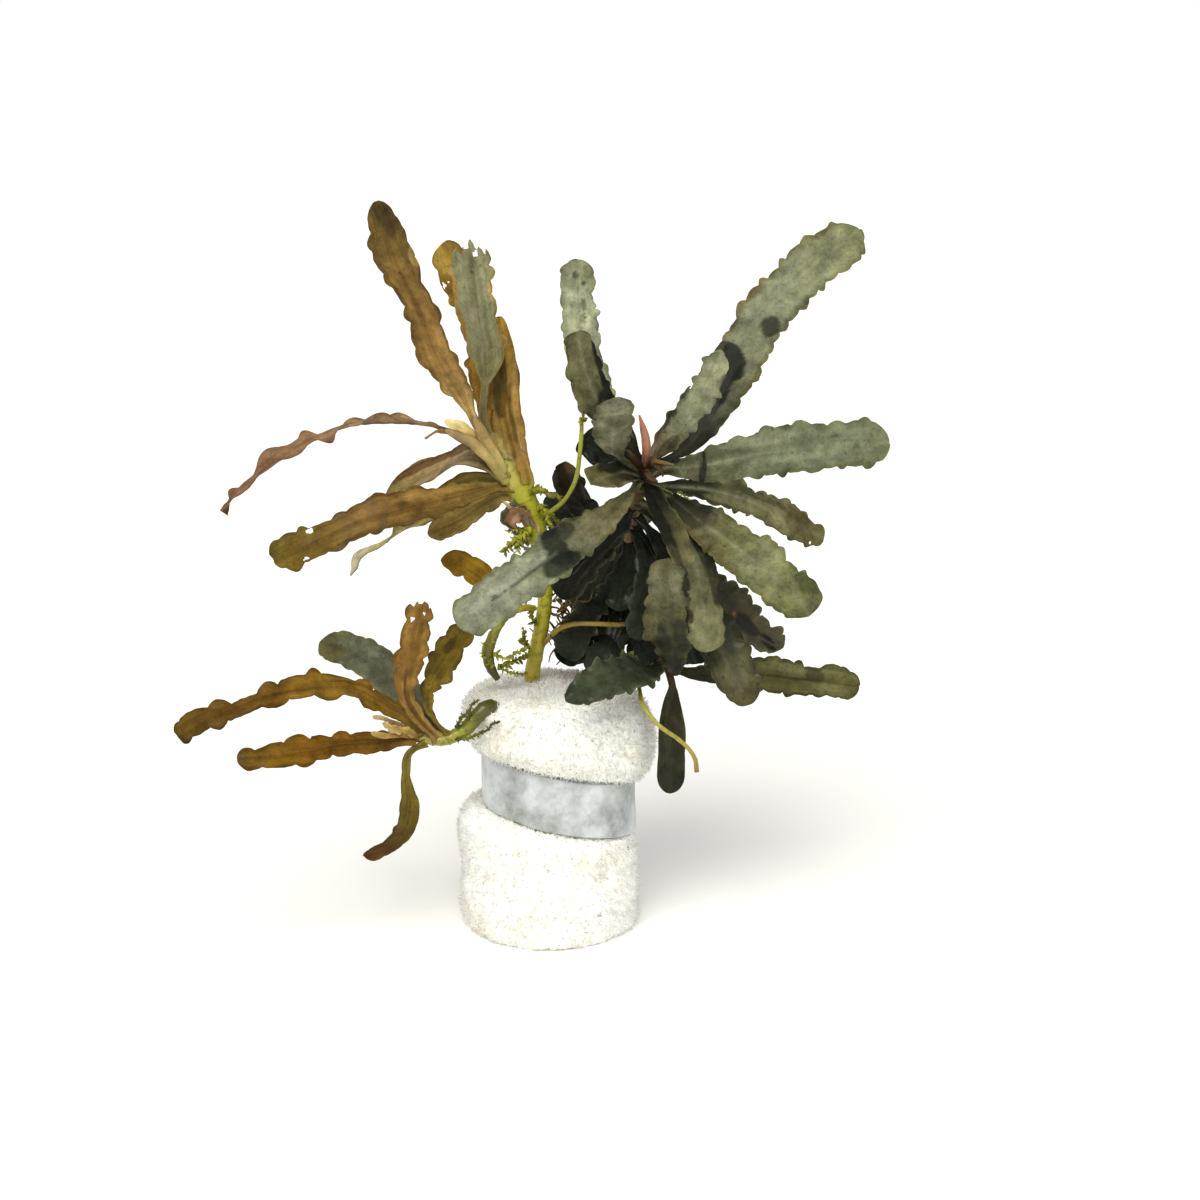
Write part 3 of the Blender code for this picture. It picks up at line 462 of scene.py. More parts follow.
def strip_section():
    """The strip's section as (out, up) in millimetres: a thin upright oblong with softened corners."""
    points = []
    for up, out, first in ((-0.5, 1.0, -90), (0.5, 1.0, 0), (0.5, 0.0, 90), (-0.5, 0.0, 180)):
        inward = CORNER if out == 0.0 else -CORNER
        middle = (out * STRIP_THICKNESS + inward, up * STRIP_HEIGHT - CORNER * 2 * up)
        for turn in (0, 30, 60, 90):
            a = math.radians(first + turn)
            points.append((middle[0] + CORNER * math.cos(a), middle[1] + CORNER * math.sin(a)))
        if out == 1.0 and up == -0.5:
            shares = (-0.4, -0.25, -0.1, 0.05, 0.2, 0.35)
            points += [(STRIP_THICKNESS, STRIP_HEIGHT * share) for share in shares]
        if out == 0.0 and up == 0.5:
            points += [(0.0, STRIP_HEIGHT * share) for share in (0.3, 0.0, -0.3)]
    return points


def bent_strip():
    section = strip_section()
    bm = bmesh.new()
    rings = []
    whole = 2 * math.pi + STRIP_OVERLAP
    start = math.pi / 2 - STRIP_OVERLAP / 2
    for i in range(STRIP_STEPS + 1):
        turn = whole * i / STRIP_STEPS
        lap = min(1.0, max(0.0, (turn - whole + 2.2 * STRIP_OVERLAP) / STRIP_OVERLAP))
        lap = lap * lap * (3 - 2 * lap)
        ring = []
        for out, up in section:
            around = (8 * math.cos(start + turn), 8 * math.sin(start + turn), up)
            dent = 0.16 * lump(around, 3.4, 7.0) + 0.05 * lump(around, 1.1, 9.0)
            radius = STRIP_RADIUS + lap * (STRIP_THICKNESS + GAP) + out + dent
            across = STRIP_MIDDLE_ACROSS + radius * math.cos(start + turn)
            deep = PLUG_DEPTH_SHARE * radius * math.sin(start + turn)
            edge = 0.14 * lump((around[0], around[1], 20.0 * (up > 0)), 2.8, 11.0)
            height = STRIP_MIDDLE + up + edge + STRIP_LEAN * (across - STRIP_MIDDLE_ACROSS)
            ring.append(bm.verts.new((across * MM, deep * MM, height * MM)))
        rings.append(ring)
    sides = len(section)
    for near, far in zip(rings, rings[1:]):
        for k in range(sides):
            bm.faces.new((near[k], near[(k + 1) % sides], far[(k + 1) % sides], far[k]))
    bm.faces.new(rings[0])
    bm.faces.new(rings[-1][::-1])
    bmesh.ops.recalc_face_normals(bm, faces=bm.faces)
    mesh = bpy.data.meshes.new("strip")
    bm.to_mesh(mesh)
    bm.free()
    mesh.shade_smooth()
    mesh.set_sharp_from_angle(angle=math.radians(60))
    return mesh


# %% [markdown]
# ## Lead finish
# Lead is shiny only where it has just been cut. In air and water a dull grey skin grows on it, paler in some
# patches than in others, with fine scratches from handling. So the metal is rough, and two sizes of noise set
# how pale and how rough each place is.

# %% Lead: material and mesh
lead_finish, tree, shader = new_finish("weathered_sheet_lead", Metallic=0.3)
place = add(tree, "ShaderNodeTexCoord")["Object"]
patches = add(tree, "ShaderNodeTexNoise", {"Vector": place, "Scale": 170.0, "Detail": 8.0, "Roughness": 0.62})
skin = add(tree, "ShaderNodeValToRGB", {"Fac": patches["Fac"]}, stops=[
    (0.34, paint("#83877F")), (0.43, paint("#A3A7A8")), (0.52, paint("#BDC1C3")), (0.62, paint("#D2D5D6")),
])["Color"]
stains = add(tree, "ShaderNodeTexNoise", {"Vector": place, "Scale": 700.0, "Detail": 4.0, "Roughness": 0.7})
dark = add(tree, "ShaderNodeMapRange", (stains["Fac"], 0.62, 0.78, 0.0, 0.55))[0]
mixed = add(tree, "ShaderNodeMix", {"Factor": dark, "A": skin, "B": paint("#74766C")}, data_type="RGBA")
tree.links.new(mixed[2], shader.inputs["Base Color"])
rough = add(tree, "ShaderNodeMapRange", (patches["Fac"], 0.3, 0.7, 0.42, 0.62))[0]
tree.links.new(rough, shader.inputs["Roughness"])
stretch = add(tree, "ShaderNodeMapping", {"Vector": place, "Scale": (0.25, 0.25, 1.0)})[0]
scratch = add(tree, "ShaderNodeTexNoise", {"Vector": stretch, "Scale": 2600.0, "Detail": 2.0})
bump = add(tree, "ShaderNodeBump", {"Strength": 0.25, "Distance": 0.00005, "Height": scratch["Fac"]})
tree.links.new(bump["Normal"], shader.inputs["Normal"])

strip = link_piece("lead_band", bent_strip(), lead_finish, ["lead_strip"])
print("Strip:", count(strip.data), "triangles")

# %% [markdown]
# ## Paths
# Every stem, root and leaf follows a smooth curve through its stations. The curve is a Hermite curve, whose
# slope at a station leans towards the nearer neighbour, so that it never swings out between two close
# stations.

# %% A smooth curve through stations


def stations_of(rows):
    return np.array([seen(*row) for row in rows])


def spans_of(points):
    return np.linalg.norm(np.diff(points, axis=0), axis=1)


def smooth(points, shares):
    """The points at these shares, 0 to 1, of a smooth curve through the points."""
    span = spans_of(points)
    start = np.concatenate([[0.0], np.cumsum(span)])
    left = np.clip(np.atleast_1d(shares), 0.0, 1.0) * start[-1]
    i = np.clip(np.searchsorted(start, left, side="right") - 1, 0, len(span) - 1)
    before = np.vstack([2 * points[0] - points[1], points])
    after = np.vstack([points, 2 * points[-1] - points[-2]])
    a, b = points[i], points[i + 1]
    here = span[i][:, None]
    slope_a = (b - before[i]) * here / (here + np.linalg.norm(a - before[i], axis=1)[:, None])
    slope_b = (after[i + 2] - a) * here / (here + np.linalg.norm(after[i + 2] - b, axis=1)[:, None])
    t = ((left - start[i]) / span[i])[:, None]
    return (a * (2 * t**3 - 3 * t**2 + 1) + slope_a * (t**3 - 2 * t**2 + t)
            + b * (3 * t**2 - 2 * t**3) + slope_b * (t**3 - t**2))


def unit(vectors):
    return vectors / np.maximum(1e-9, np.linalg.norm(vectors, axis=-1, keepdims=True))


# %% [markdown]
# ## Stems and roots
# The rhizome creeps: it is as thick as a thin twig, and it carries a ring at every node, where a leaf once
# stood, so it looks like a tiny bamboo. Roots are thinner and smooth. Each is one path with a thickness, so a
# Geometry Nodes tree sweeps a circle along it and makes the rings by a rule, one at every step of its length.

# %% Stations of stems and roots
Stem = namedtuple("Stem", "node stations radii slot rings ring_height")
STEMS = {
    "brown_shoot": Stem("stem_brown_shoot",
        ((-8.6, -13.5, 0), (-8.4, -8.6, 0), (-7.5, -4.4, 0), (-6.9, 0, 0.5), (-7.1, 5.2, 0.5), (-8.3, 9.8, 0),
         (-10, 13.6, -0.5), (-12.2, 17.2, -1), (-13.4, 19, -1.2)),
        (0.95, 0.98, 0.95, 0.92, 1, 1.25, 1.55, 1.6, 0.9), "stem_green", 2.1, 0.11),
    "crown": Stem("stem_crown",
        ((1.2, -15, 2), (1.8, -9.5, 2), (2.8, -4, 2), (3.3, 1.5, 2), (3.6, 6.5, 2), (4.3, 11, 1),
         (5.1, 14.6, -0.6), (5.6, 17.4, -2.4)), (0.75, 0.65, 0.6, 0.6, 0.65, 0.75, 0.9, 0.8), "stem_amber",
        1.8, 0.1),
    "side": Stem("stem_side_shoot",
        ((-12.6, -15.2, -5.4), (-13.3, -13.6, -7.4), (-14.2, -13.5, -8.5), (-15.5, -14.7, -9.1),
         (-17, -16.3, -9.2), (-19.8, -17.5, -9.5), (-23.6, -17.1, -9.6)),
        (0.7, 0.95, 0.95, 0.9, 0.8, 0.65, 0.5), "stem_green", 0.95, 0.12),
    "low": Stem("stem_low_crown", ((4.4, -6.6, 2.2), (5.9, -7.6, 2.4), (7.6, -8, 1.6), (9.3, -8.3, 0.2)),
        (0.85, 0.9, 0.95, 0.8), "stem_amber", 1.4, 0.12),
    "trailing": Stem("root_trailing",
        ((5, -8.9, 0.6), (4.7, -9.6, -3), (4.9, -11, -7.8), (5.5, -13.4, -12), (7.4, -15.7, -13.5),
         (9.5, -17.2, -13.5), (11, -18.5, -13), (11.9, -19.9, -12.5), (12.1, -21.5, -12.5)),
        (0.3, 0.28, 0.27, 0.27, 0.28, 0.27, 0.26, 0.25, 0.3), "root_green", 50, 0),
    "bridge": Stem("root_bridge",
        ((-7.2, -5.6, 0), (-6.2, -4.6, -2.6), (-4.9, -3.5, -4.4), (-3.1, -3, -5.2), (0, -3, -5.2),
         (2.2, -3.1, -3.6), (3.4, -3, -0.6)), (0.36, 0.34, 0.32, 0.3, 0.29, 0.3, 0.3), "root_amber", 50, 0),
    "hook": Stem("root_hook",
        ((-8.2, -1, -1), (-9.6, -1, -3.4), (-11.2, -1.6, -4.4), (-12.8, -3.4, -5.2), (-13.9, -6, -5.4),
         (-13.8, -8.2, -5), (-12.8, -9.8, -4.4)), (0.35, 0.42, 0.48, 0.58, 0.68, 0.66, 0.4), "stem_green",
        1.6, 0.08),
    "runner": Stem("runner",
        ((-7.2, 10.6, -1.4), (-5.8, 11.3, -2.8), (-4.2, 12.8, -3.7), (-3, 15.2, -3.9), (-2.5, 18.5, -3.6),
         (-2.3, 21.4, -3.4), (-2.4, 22.8, -3.4)), (0.32, 0.3, 0.27, 0.27, 0.27, 0.28, 0.24), "root_green", 50,
        0),
    "young": Stem("young_leaf_rolled",
        ((5.6, 16.7, -2.8), (5.8, 18.4, -3.4), (5.7, 20.2, -3.8), (5.3, 21.8, -4), (4.9, 23.1, -4)),
        (0.4, 0.55, 0.56, 0.42, 0.1), "leaf_young", 50, 0),
}


def path_curve(name, points, radii, step=0.35):
    """A curve object's data along a smooth path, with a radius at each point, all in metres."""
    curve = bpy.data.curves.new(name, "CURVE")
    curve.dimensions = "3D"
    length = float(spans_of(points).sum())
    shares = np.linspace(0.0, 1.0, max(6, int(length / step)))
    spline = curve.splines.new("POLY")
    spline.points.add(len(shares) - 1)
    thick = np.interp(shares, np.linspace(0, 1, len(radii)), radii)
    for point, place, radius in zip(spline.points, smooth(points, shares) * MM, thick * MM):
        point.co, point.radius = (*place, 1.0), radius
    return curve


# %% The tree that sweeps a ringed stem


def stem_tree():
    tree, given = new_tree("ringed_stem", "Stem", Path="Geometry", Ring_spacing="Float", Ring_height="Float",
                           Roughness="Float", Finish="Material")
    fine = add(tree, "GeometryNodeResampleCurve", {"Curve": given["Path"], "Length": 0.00013}, mode="LENGTH")
    along = add(tree, "GeometryNodeSplineParameter")["Length"]
    kept = add(tree, "GeometryNodeStoreNamedAttribute",
               {"Geometry": fine[0], "Name": "along", "Value": along}, data_type="FLOAT", domain="POINT")
    # A ring stands up where the length passes a whole number of spacings, and falls off more slowly above it
    steps = add(tree, MATH, (along, given["Ring spacing"]), "DIVIDE")[0]
    rest = add(tree, MATH, (steps,), "FRACT")[0]
    ridge = add(tree, MATH, (add(tree, MATH, (1.0, rest), "SUBTRACT")[0], 5.0), "POWER")[0]
    steep = add(tree, MATH, (rest, 14.0), "MULTIPLY")[0]
    rise = add(tree, MATH, (steep, ridge, 0.2), "SMOOTH_MIN")[0]
    rise = add(tree, MATH, (rise, given["Ring height"]), "MULTIPLY")[0]
    radius = add(tree, MATH, (add(tree, "GeometryNodeInputRadius")[0], rise), "ADD")[0]
    ring = add(tree, "GeometryNodeCurvePrimitiveCircle", {"Resolution": 22, "Radius": 1.0})
    swept = add(tree, "GeometryNodeCurveToMesh", {"Curve": kept[0], "Profile Curve": ring[0],
                                                    "Scale": radius, "Fill Caps": True})
    uneven = add(tree, "ShaderNodeTexNoise", {"Scale": 900.0, "Detail": 2.0})
    push = add(tree, MATH, (uneven["Fac"], 0.5), "SUBTRACT")[0]
    push = add(tree, MATH, (push, given["Roughness"]), "MULTIPLY")[0]
    normal = add(tree, "GeometryNodeInputNormal")[0]
    offset = add(tree, VECTORS, {0: normal, "Scale": push}, "SCALE")[0]
    moved = add(tree, "GeometryNodeSetPosition", {"Geometry": swept[0], "Offset": offset})
    return end_tree(tree, moved[0], given["Finish"])


RINGED = stem_tree()
print("Tree:", RINGED.name, len(RINGED.nodes), "nodes")

# %% [markdown]
# ## Stem finishes
# A living rhizome is full of water, so its skin looks like a grape's: glossy, with light that goes in a
# little way. The brown shoot's rhizome is bright yellow-green at its bend and duller near the foam. The
# crown's is amber brown. Roots run from green to amber, and the trailing one ends in a brown tip.

# %% Materials for stems and roots


def stem_finish(name, lengths, colours, roughness=0.38, marks="#5A5A20"):
    """Waxy plant skin whose colour changes along its length, with fine spots."""
    finish, tree, shader = new_finish(name, Roughness=roughness, Coat_Weight=0.3, Coat_Roughness=0.2,
                                      Specular_IOR_Level=0.3)
    place = add(tree, "ShaderNodeTexCoord")["Object"]
    along = add(tree, "ShaderNodeAttribute", attribute_name="along")["Fac"]
    share = add(tree, MATH, (along, lengths[-1] * MM), "DIVIDE")[0]
    blotch = add(tree, "ShaderNodeTexNoise", {"Vector": place, "Scale": 500.0, "Detail": 4.0})
    shifted = add(tree, MATH, (blotch["Fac"], 0.14, share), "MULTIPLY_ADD")[0]
    shifted = add(tree, MATH, (shifted, 0.07), "SUBTRACT")[0]
    base = add(tree, "ShaderNodeValToRGB", {"Fac": shifted}, stops=[
        (length / lengths[-1], tone(code)) for length, code in zip(lengths, colours)])["Color"]
    spots = add(tree, "ShaderNodeTexNoise", {"Vector": place, "Scale": 1500.0, "Detail": 3.0})
    amount = add(tree, "ShaderNodeMapRange", (spots["Fac"], 0.52, 0.72, 0.0, 0.6))[0]
    mixed = add(tree, "ShaderNodeMix", {"Factor": amount, "A": base, "B": tone(marks)}, data_type="RGBA")
    tree.links.new(mixed[2], shader.inputs["Base Color"])
    bump = add(tree, "ShaderNodeBump", {"Strength": 0.4, "Distance": 0.0001, "Height": blotch["Fac"]})
    tree.links.new(bump["Normal"], shader.inputs["Normal"])
    return finish


STEM_FINISHES = {
    "brown_shoot": stem_finish("bright_rhizome_skin", (0, 9, 16, 22, 28, 34),
                               ("#C4B23C", "#BCB02A", "#ACAA18", "#ACAE10", "#B8B42C", "#B8A860")),
    "crown": stem_finish("amber_rhizome_skin", (0, 10, 20, 34), ("#8A6420", "#A87A28", "#8E6A2C", "#3A2C1E")),
    "side": stem_finish("mossy_rhizome_skin", (0, 6, 9, 15), ("#4A4A12", "#5C5A18", "#989A2A", "#A09442"),
                        marks="#333A10"),
    "low": stem_finish("low_rhizome_skin", (0, 3, 6), ("#6B5420", "#7A5E26", "#6A4E28")),
    "trailing": stem_finish("trailing_root_skin", (0, 14, 21, 24, 27),
                            ("#9C9A2C", "#A8A436", "#B09A3A", "#8A5F28", "#6B4420")),
    "bridge": stem_finish("amber_root_skin", (0, 4, 8), ("#846A1C", "#A48426", "#9C7C28")),
    "hook": stem_finish("hooked_root_skin", (0, 5, 9, 13), ("#BCB63A", "#A8A22C", "#76701C", "#4E4614")),
    "runner": stem_finish("runner_skin", (0, 5, 10, 14), ("#8E8E26", "#90922A", "#94982C", "#9CA438")),
    "young": stem_finish("young_leaf_skin", (0, 1.5, 3, 7), ("#4A3022", "#7E5238", "#B07C5C", "#AE7052"),
                         marks="#8A5840"),
}
for key, stem in STEMS.items():
    curve = path_curve("path_" + key, stations_of(stem.stations), stem.radii)
    mesh = grow("stem_" + key, curve, RINGED, Ring_spacing=stem.rings * MM, Ring_height=stem.ring_height * MM,
                Roughness=0.00022 if stem.ring_height else 0.00012, Finish=STEM_FINISHES[key])
    mesh.shade_smooth()
    link_piece("skin_" + stem.node, mesh, STEM_FINISHES[key], [stem.node])
    print(stem.node, count(mesh), "triangles")

# %% [markdown]
# ## The leaves
# A bucephalandra leaf is a long leathery blade on a short stalk. Its margin is crimped: it grows faster than
# the middle, so it bulges out in small lobes and rises and falls between them. The brown shoots' leaves have
# long lazy waves, and the crown's have short tight ones. Each blade has its own path, width and damage, so
# it is made in code: the path gives its place, and a surface function bends a flat sheet of points onto it.

# %% Leaf stations
# below is how far under the stem's top the stalk leaves it, in mm, and ruffle how far the margin rises and
# falls. stalk, full and tip are shares of the length: the stalk's end, the widest place and the round tip's
# part.
Leaf = namedtuple("Leaf", "node stem below stations half_width facing ruffle slot stalk full tip",
                  defaults=(0.08, 0.58, 0.16))
LEAVES = (
    # Brown shoot on the left
    Leaf("brown_leaf_tall", "brown_shoot", 0.4,
         ((-15.2, 21.6, -2.4), (-16.8, 24.8, -3.2), (-20.1, 30.1, -5.2), (-22.3, 35.9, -7.2),
          (-25.2, 41.6, -8.8), (-27.1, 47.1, -10), (-28.1, 49.8, -10.4)), 2.53, (-0.4, -0.9, 0), 0.35,
         "leaf_brown", 0.17, 0.6),
    Leaf("brown_leaf_frayed", "brown_shoot", 1,
         ((-14.5, 22.5, 0.4), (-14.5, 26, 1.4), (-14.2, 29.8, 2), (-15, 35, 2.6), (-15.8, 40, 3.4),
          (-16.5, 45, 4.6)), 2.81, (0.4, -0.9, 0), 0.4, "leaf_grey", 0.33, 0.62),
    Leaf("brown_leaf_behind", "brown_shoot", 2.2,
         ((-14.1, 21.9, 3.4), (-14.2, 25.6, 6.8), (-14.6, 31, 10.2), (-15.9, 36.5, 12.4), (-18.1, 41.2, 13.4),
          (-19.3, 44.9, 14)), 2.23, (-0.45, -0.9, 0), 0.35, "leaf_brown", 0.15, 0.6),
    Leaf("brown_leaf_right", "brown_shoot", 6.6,
         ((-9.7, 16.4, 1.6), (-10.6, 18.8, 2.6), (-11.8, 23.8, 3.8), (-12, 28.6, 4.4), (-12.4, 32.8, 4.6),
          (-12.6, 35.5, 4.6)), 2.07, (-0.3, -0.95, 0), 0.3, "leaf_brown", 0.05, 0.5, 0.5),
    Leaf("brown_leaf_arching", "brown_shoot", 1.6,
         ((-17.5, 20.5, -1.6), (-21.2, 22, -4.2), (-26.9, 22.4, -7.6), (-31.9, 21.8, -10.6),
          (-37.1, 19.5, -13.6), (-42.2, 16.1, -15.8), (-45.5, 13.5, -16.8), (-47.4, 11.1, -17.2)), 1.61,
         (-0.2, -0.12, 1), 0.6, "leaf_brown"),
    Leaf("brown_leaf_folded", "brown_shoot", 3.9,
         ((-16, 17.6, -1), (-19, 16.8, 2.6), (-21.8, 15.5, 5.4), (-24.4, 14, 7.6), (-26.8, 12.4, 9)), 1.47,
         (-0.3, -0.6, 0.9), 0.2, "leaf_brown", 0.08, 0.5, 0.3),
    Leaf("brown_leaf_broad", "brown_shoot", 5.2,
         ((-13, 14, -2.4), (-16.2, 13.4, -5), (-20, 12.5, -7.4), (-24.8, 11.4, -9.6), (-29.5, 10, -11.2),
          (-34.2, 7.9, -12.2), (-37.5, 6.4, -12.4), (-40.8, 5, -12)), 2.29, (-0.1, -0.8, 0.6), 0.45,
         "leaf_brown", 0.08, 0.45),
    Leaf("brown_leaf_short", "brown_shoot", 6.6,
         ((-12.5, 13.1, -1.2), (-14.9, 11.9, -2.2), (-17.4, 10.2, -3), (-19.9, 9, -3.4), (-21.5, 8.1, -3.6)),
         1.45, (0.1, -0.95, 0.3), 0.3, "leaf_brown"),
    Leaf("brown_leaf_twisted", "brown_shoot", 4.4,
         ((-16, 15.2, 2.6), (-20, 12.5, 6), (-23.8, 9.4, 9), (-26.9, 7.2, 10.6), (-29.4, 6.2, 10.8),
          (-30.6, 5, 10.2), (-31.2, 3, 9.4)), 1.7, (0.2, -0.9, -0.3), 0.45, "leaf_brown", 0.1, 0.5, 0.4),
    Leaf("brown_leaf_low", "brown_shoot", 16,
         ((-11, 1.2, 1.6), (-13.5, 2, 1.2), (-15.6, 3.4, 0.4), (-17.8, 4.6, -0.4), (-19.9, 5, -1)), 1.6,
         (0, -1, 0.5), 0.25, "leaf_brown", 0.1, 0.55, 0.25),
    Leaf("brown_leaf_back", "brown_shoot", 5.6,
         ((-13.2, 14, 3.4), (-16.6, 13.6, 8), (-20.4, 13, 12.4), (-25, 11.4, 15.8)), 1.75, (-0.2, 0.1, 1),
         0.35, "leaf_brown"),

    # Grey-green crown on the right
    Leaf("crown_leaf_upper_right", "crown", 1.4,
         ((9, 17.8, 0.4), (11.4, 19.5, 1.8), (13.9, 23.1, 3.4), (15.6, 26.5, 4.6), (17.8, 30.6, 6),
          (20.5, 35.5, 7.4), (24.6, 40, 8.8), (28.5, 43.2, 10), (32.4, 46.4, 11.6)), 3.27, (-0.3, -0.9, 0.3),
         0.35, "leaf_green", 0.1, 0.5),
    Leaf("crown_leaf_over_upper_right", "crown", 0.9,
         ((7.5, 18.5, -2.6), (9, 20.2, -3.8), (10.6, 22.1, -5), (11.8, 24.1, -6.2), (13, 26.5, -7.2),
          (14.2, 28.8, -8), (15, 31.2, -8.4)), 1.81, (0.4, -0.9, 0.2), 0.3, "leaf_green", 0.1, 0.45),
    Leaf("crown_leaf_edge_on", "crown", 1.8,
         ((6.9, 19.4, 1.6), (8.2, 21.6, 4), (9.8, 24, 6.6), (11.2, 26.6, 8.6)), 1.21, (0.8, -0.6, -0.3), 0.25,
         "leaf_green"),
    Leaf("crown_leaf_right", "crown", 2.8,
         ((8.5, 16.4, -3.2), (11.2, 16.6, -5), (14.4, 17.1, -6.6), (18.4, 18, -8.6), (24.1, 18.8, -11),
          (29.9, 19.4, -12.6), (33.5, 19.5, -13), (36.2, 19.6, -13)), 3.06, (0.1, -0.85, 0.5), 0.35,
         "leaf_green", 0.08, 0.5),
    Leaf("crown_leaf_right_low", "crown", 4,
         ((8.8, 14.1, 0.8), (12.6, 13.9, 3), (16.9, 13, 5.2), (19.8, 11.9, 6.8), (22.6, 10.4, 8), (25, 9, 9),
          (28, 7.8, 10.4)), 2.04, (0.1, -0.85, 0.5), 0.3, "leaf_green", 0.08, 0.5),
    Leaf("crown_leaf_lower_right", "crown", 4.6,
         ((8.5, 12.9, -1.6), (10, 11.9, -3.2), (12.8, 9.6, -5.6), (16.4, 7.1, -8.2), (19.6, 4.6, -10.8),
          (22.8, 1.8, -13), (24.9, -0.2, -14.2), (26.2, -2, -15)), 3.24, (0.3, -0.9, 0.3), 0.35, "leaf_green",
         0.1, 0.6),
    Leaf("crown_leaf_front_short", "crown", 3.6,
         ((6.4, 13.8, -4.2), (7.2, 12.1, -6.8), (8.5, 9.8, -10.2), (9.6, 7.4, -13), (10.9, 4.2, -15.4)), 1.52,
         (0.1, -0.8, 0.7), 0.2, "leaf_green", 0.1, 0.5),
    Leaf("crown_leaf_front_hanging", "crown", 6.2,
         ((8, 10.4, -3.2), (10.2, 7.6, -5.6), (12.1, 3.8, -7.6), (13, -1, -8.8), (13.4, -6.5, -9.4)), 2.29,
         (0.3, -0.95, 0.15), 0.3, "leaf_green"),
    Leaf("crown_leaf_dark_crumpled", "crown", 6.8,
         ((8, 9.1, 2), (11.2, 5, 4.6), (14.2, 1.2, 6.6), (17.1, -1.4, 8), (19.6, -3.6, 9), (22.9, -6, 10.4)),
         2.17, (-0.2, -0.85, 0.4), 0.5, "leaf_dark"),
    Leaf("crown_leaf_dark_low_right", "crown", 8.2,
         ((7.5, 6.9, -1), (10.8, 1, -3), (13.8, -3.8, -4.8), (16.4, -8.2, -6.2), (19, -13, -7)), 2.83,
         (0.3, -0.95, 0.3), 0.35, "leaf_dark"),
    Leaf("crown_leaf_front_left", "crown", 3.2,
         ((2.8, 12.2, -5.6), (-1.2, 8.9, -9.6), (-5.5, 5.8, -13), (-10.6, 1.9, -15.6), (-15, -1.2, -17),
          (-17.9, -3.1, -17.4)), 2.94, (-0.2, -0.9, 0.5), 0.35, "leaf_green"),
    Leaf("crown_leaf_up_behind", "crown", 1,
         ((2.4, 20.6, 1.6), (0.2, 24.4, 4.6), (-1.4, 28.8, 7.4), (-2.4, 33.2, 9.8), (-2.8, 37.9, 11.8),
          (-2.8, 42.6, 13)), 2.45, (0.4, -0.9, 0.1), 0.35, "leaf_green"),
    Leaf("crown_leaf_up_front", "crown", 0.5,
         ((3.4, 20.4, -2.6), (1.4, 22.8, -3.4), (-0.4, 25.2, -4), (-2, 29.4, -4.6), (-2.9, 33.6, -5)), 2.25,
         (-0.4, -0.9, 0.1), 0.3, "leaf_green"),
    Leaf("crown_leaf_short_broad", "crown", 1.4,
         ((2.6, 17.7, -4.8), (1.7, 18.9, -8), (1.7, 20.9, -11.4), (2, 23.3, -15), (2.2, 25.4, -17.6)), 2.2,
         (0, -0.2, 1), 0.2, "leaf_green", 0.15, 0.5, 0.1),
    Leaf("crown_leaf_dark_left", "crown", 3,
         ((3.4, 17, 2.2), (1.6, 18, 2.8), (-0.4, 18.7, 2.6), (-1.9, 18.5, 2)), 1.9, (-0.4, -1, 0.3), 0.2,
         "leaf_dark"),
    Leaf("crown_leaf_olive_left", "crown", 2.6,
         ((3.2, 15.9, -5), (1.5, 15.6, -8.4), (-0.1, 15.1, -11), (-1.1, 14.6, -12.6)), 2.1, (-0.1, -1, 0.6),
         0.15, "leaf_green"),

    # Dark leaves lower down the crown's stem
    Leaf("dark_leaf_upper_left", "crown", 11.5,
         ((0.6, 8.4, 3.4), (-2.2, 11.6, 3.6), (-3.6, 14.4, 3.4), (-4.4, 17.3, 3)), 1.99, (-0.5, -0.85, 0.1),
         0.3, "leaf_dark"),
    Leaf("dark_leaf_left", "crown", 13.5, ((0.8, 5, 6), (-2.2, 8, 8), (-4.6, 10.8, 8.4), (-6, 13.4, 8)), 2.56,
         (-0.5, -0.8, 0.35), 0.35, "leaf_dark"),
    Leaf("dark_leaf_under_front", "crown", 7.6,
         ((2.4, 9, -2.4), (0, 6.6, -5), (-2.8, 3.6, -6.8), (-5, 0.2, -7.6)), 2.53, (-0.3, -0.85, 0.6), 0.45,
         "leaf_dark"),
    Leaf("dark_leaf_middle", "crown", 10.2,
         ((5.6, 5.6, -1.8), (5.8, 2.4, -3.4), (5.4, -1.4, -4.4), (4.4, -5, -4.8)), 1.97, (0.4, -0.95, 0.2),
         0.35, "leaf_dark"),
    Leaf("dark_leaf_low_left", "crown", 16.5,
         ((1, 0.2, 1), (-1.2, -1.2, -2.2), (-2.8, -4, -3.8), (-4.1, -7.4, -4.2)), 2.32, (-0.5, -0.85, 0.4),
         0.4, "leaf_dark"),
    Leaf("dark_leaf_low_middle", "crown", 19.5,
         ((2, -4.6, -0.8), (1.2, -5.8, -2.8), (0.2, -7.6, -3.8), (-0.8, -9.4, -3.8)), 1.9, (0.1, -1, 0.4),
         0.35, "leaf_dark"),
    Leaf("dark_leaf_back_left", "crown", 15,
         ((1.6, 4, 6.2), (-1.6, 5.8, 10.4), (-5.4, 6.6, 13.6), (-9.4, 6.4, 15.6)), 2.2, (-0.3, 0.3, 1), 0.35,
         "leaf_dark"),
    Leaf("dark_leaf_back", "crown", 9.4,
         ((4.4, 9.4, 5.4), (5.4, 11.4, 9.8), (5.8, 11.8, 14.4), (5.6, 10.4, 18.6)), 2.4, (0.1, 0.4, 1), 0.35,
         "leaf_green"),
    Leaf("dark_leaf_back_right", "crown", 12.4,
         ((5.6, 5.4, 5.4), (9, 6.8, 9), (13, 6.4, 12.2), (17, 4.6, 14.4)), 2.3, (0.4, 0.2, 1), 0.35,
         "leaf_green"),

    Leaf("dark_leaf_inner_left", "crown", 12.2,
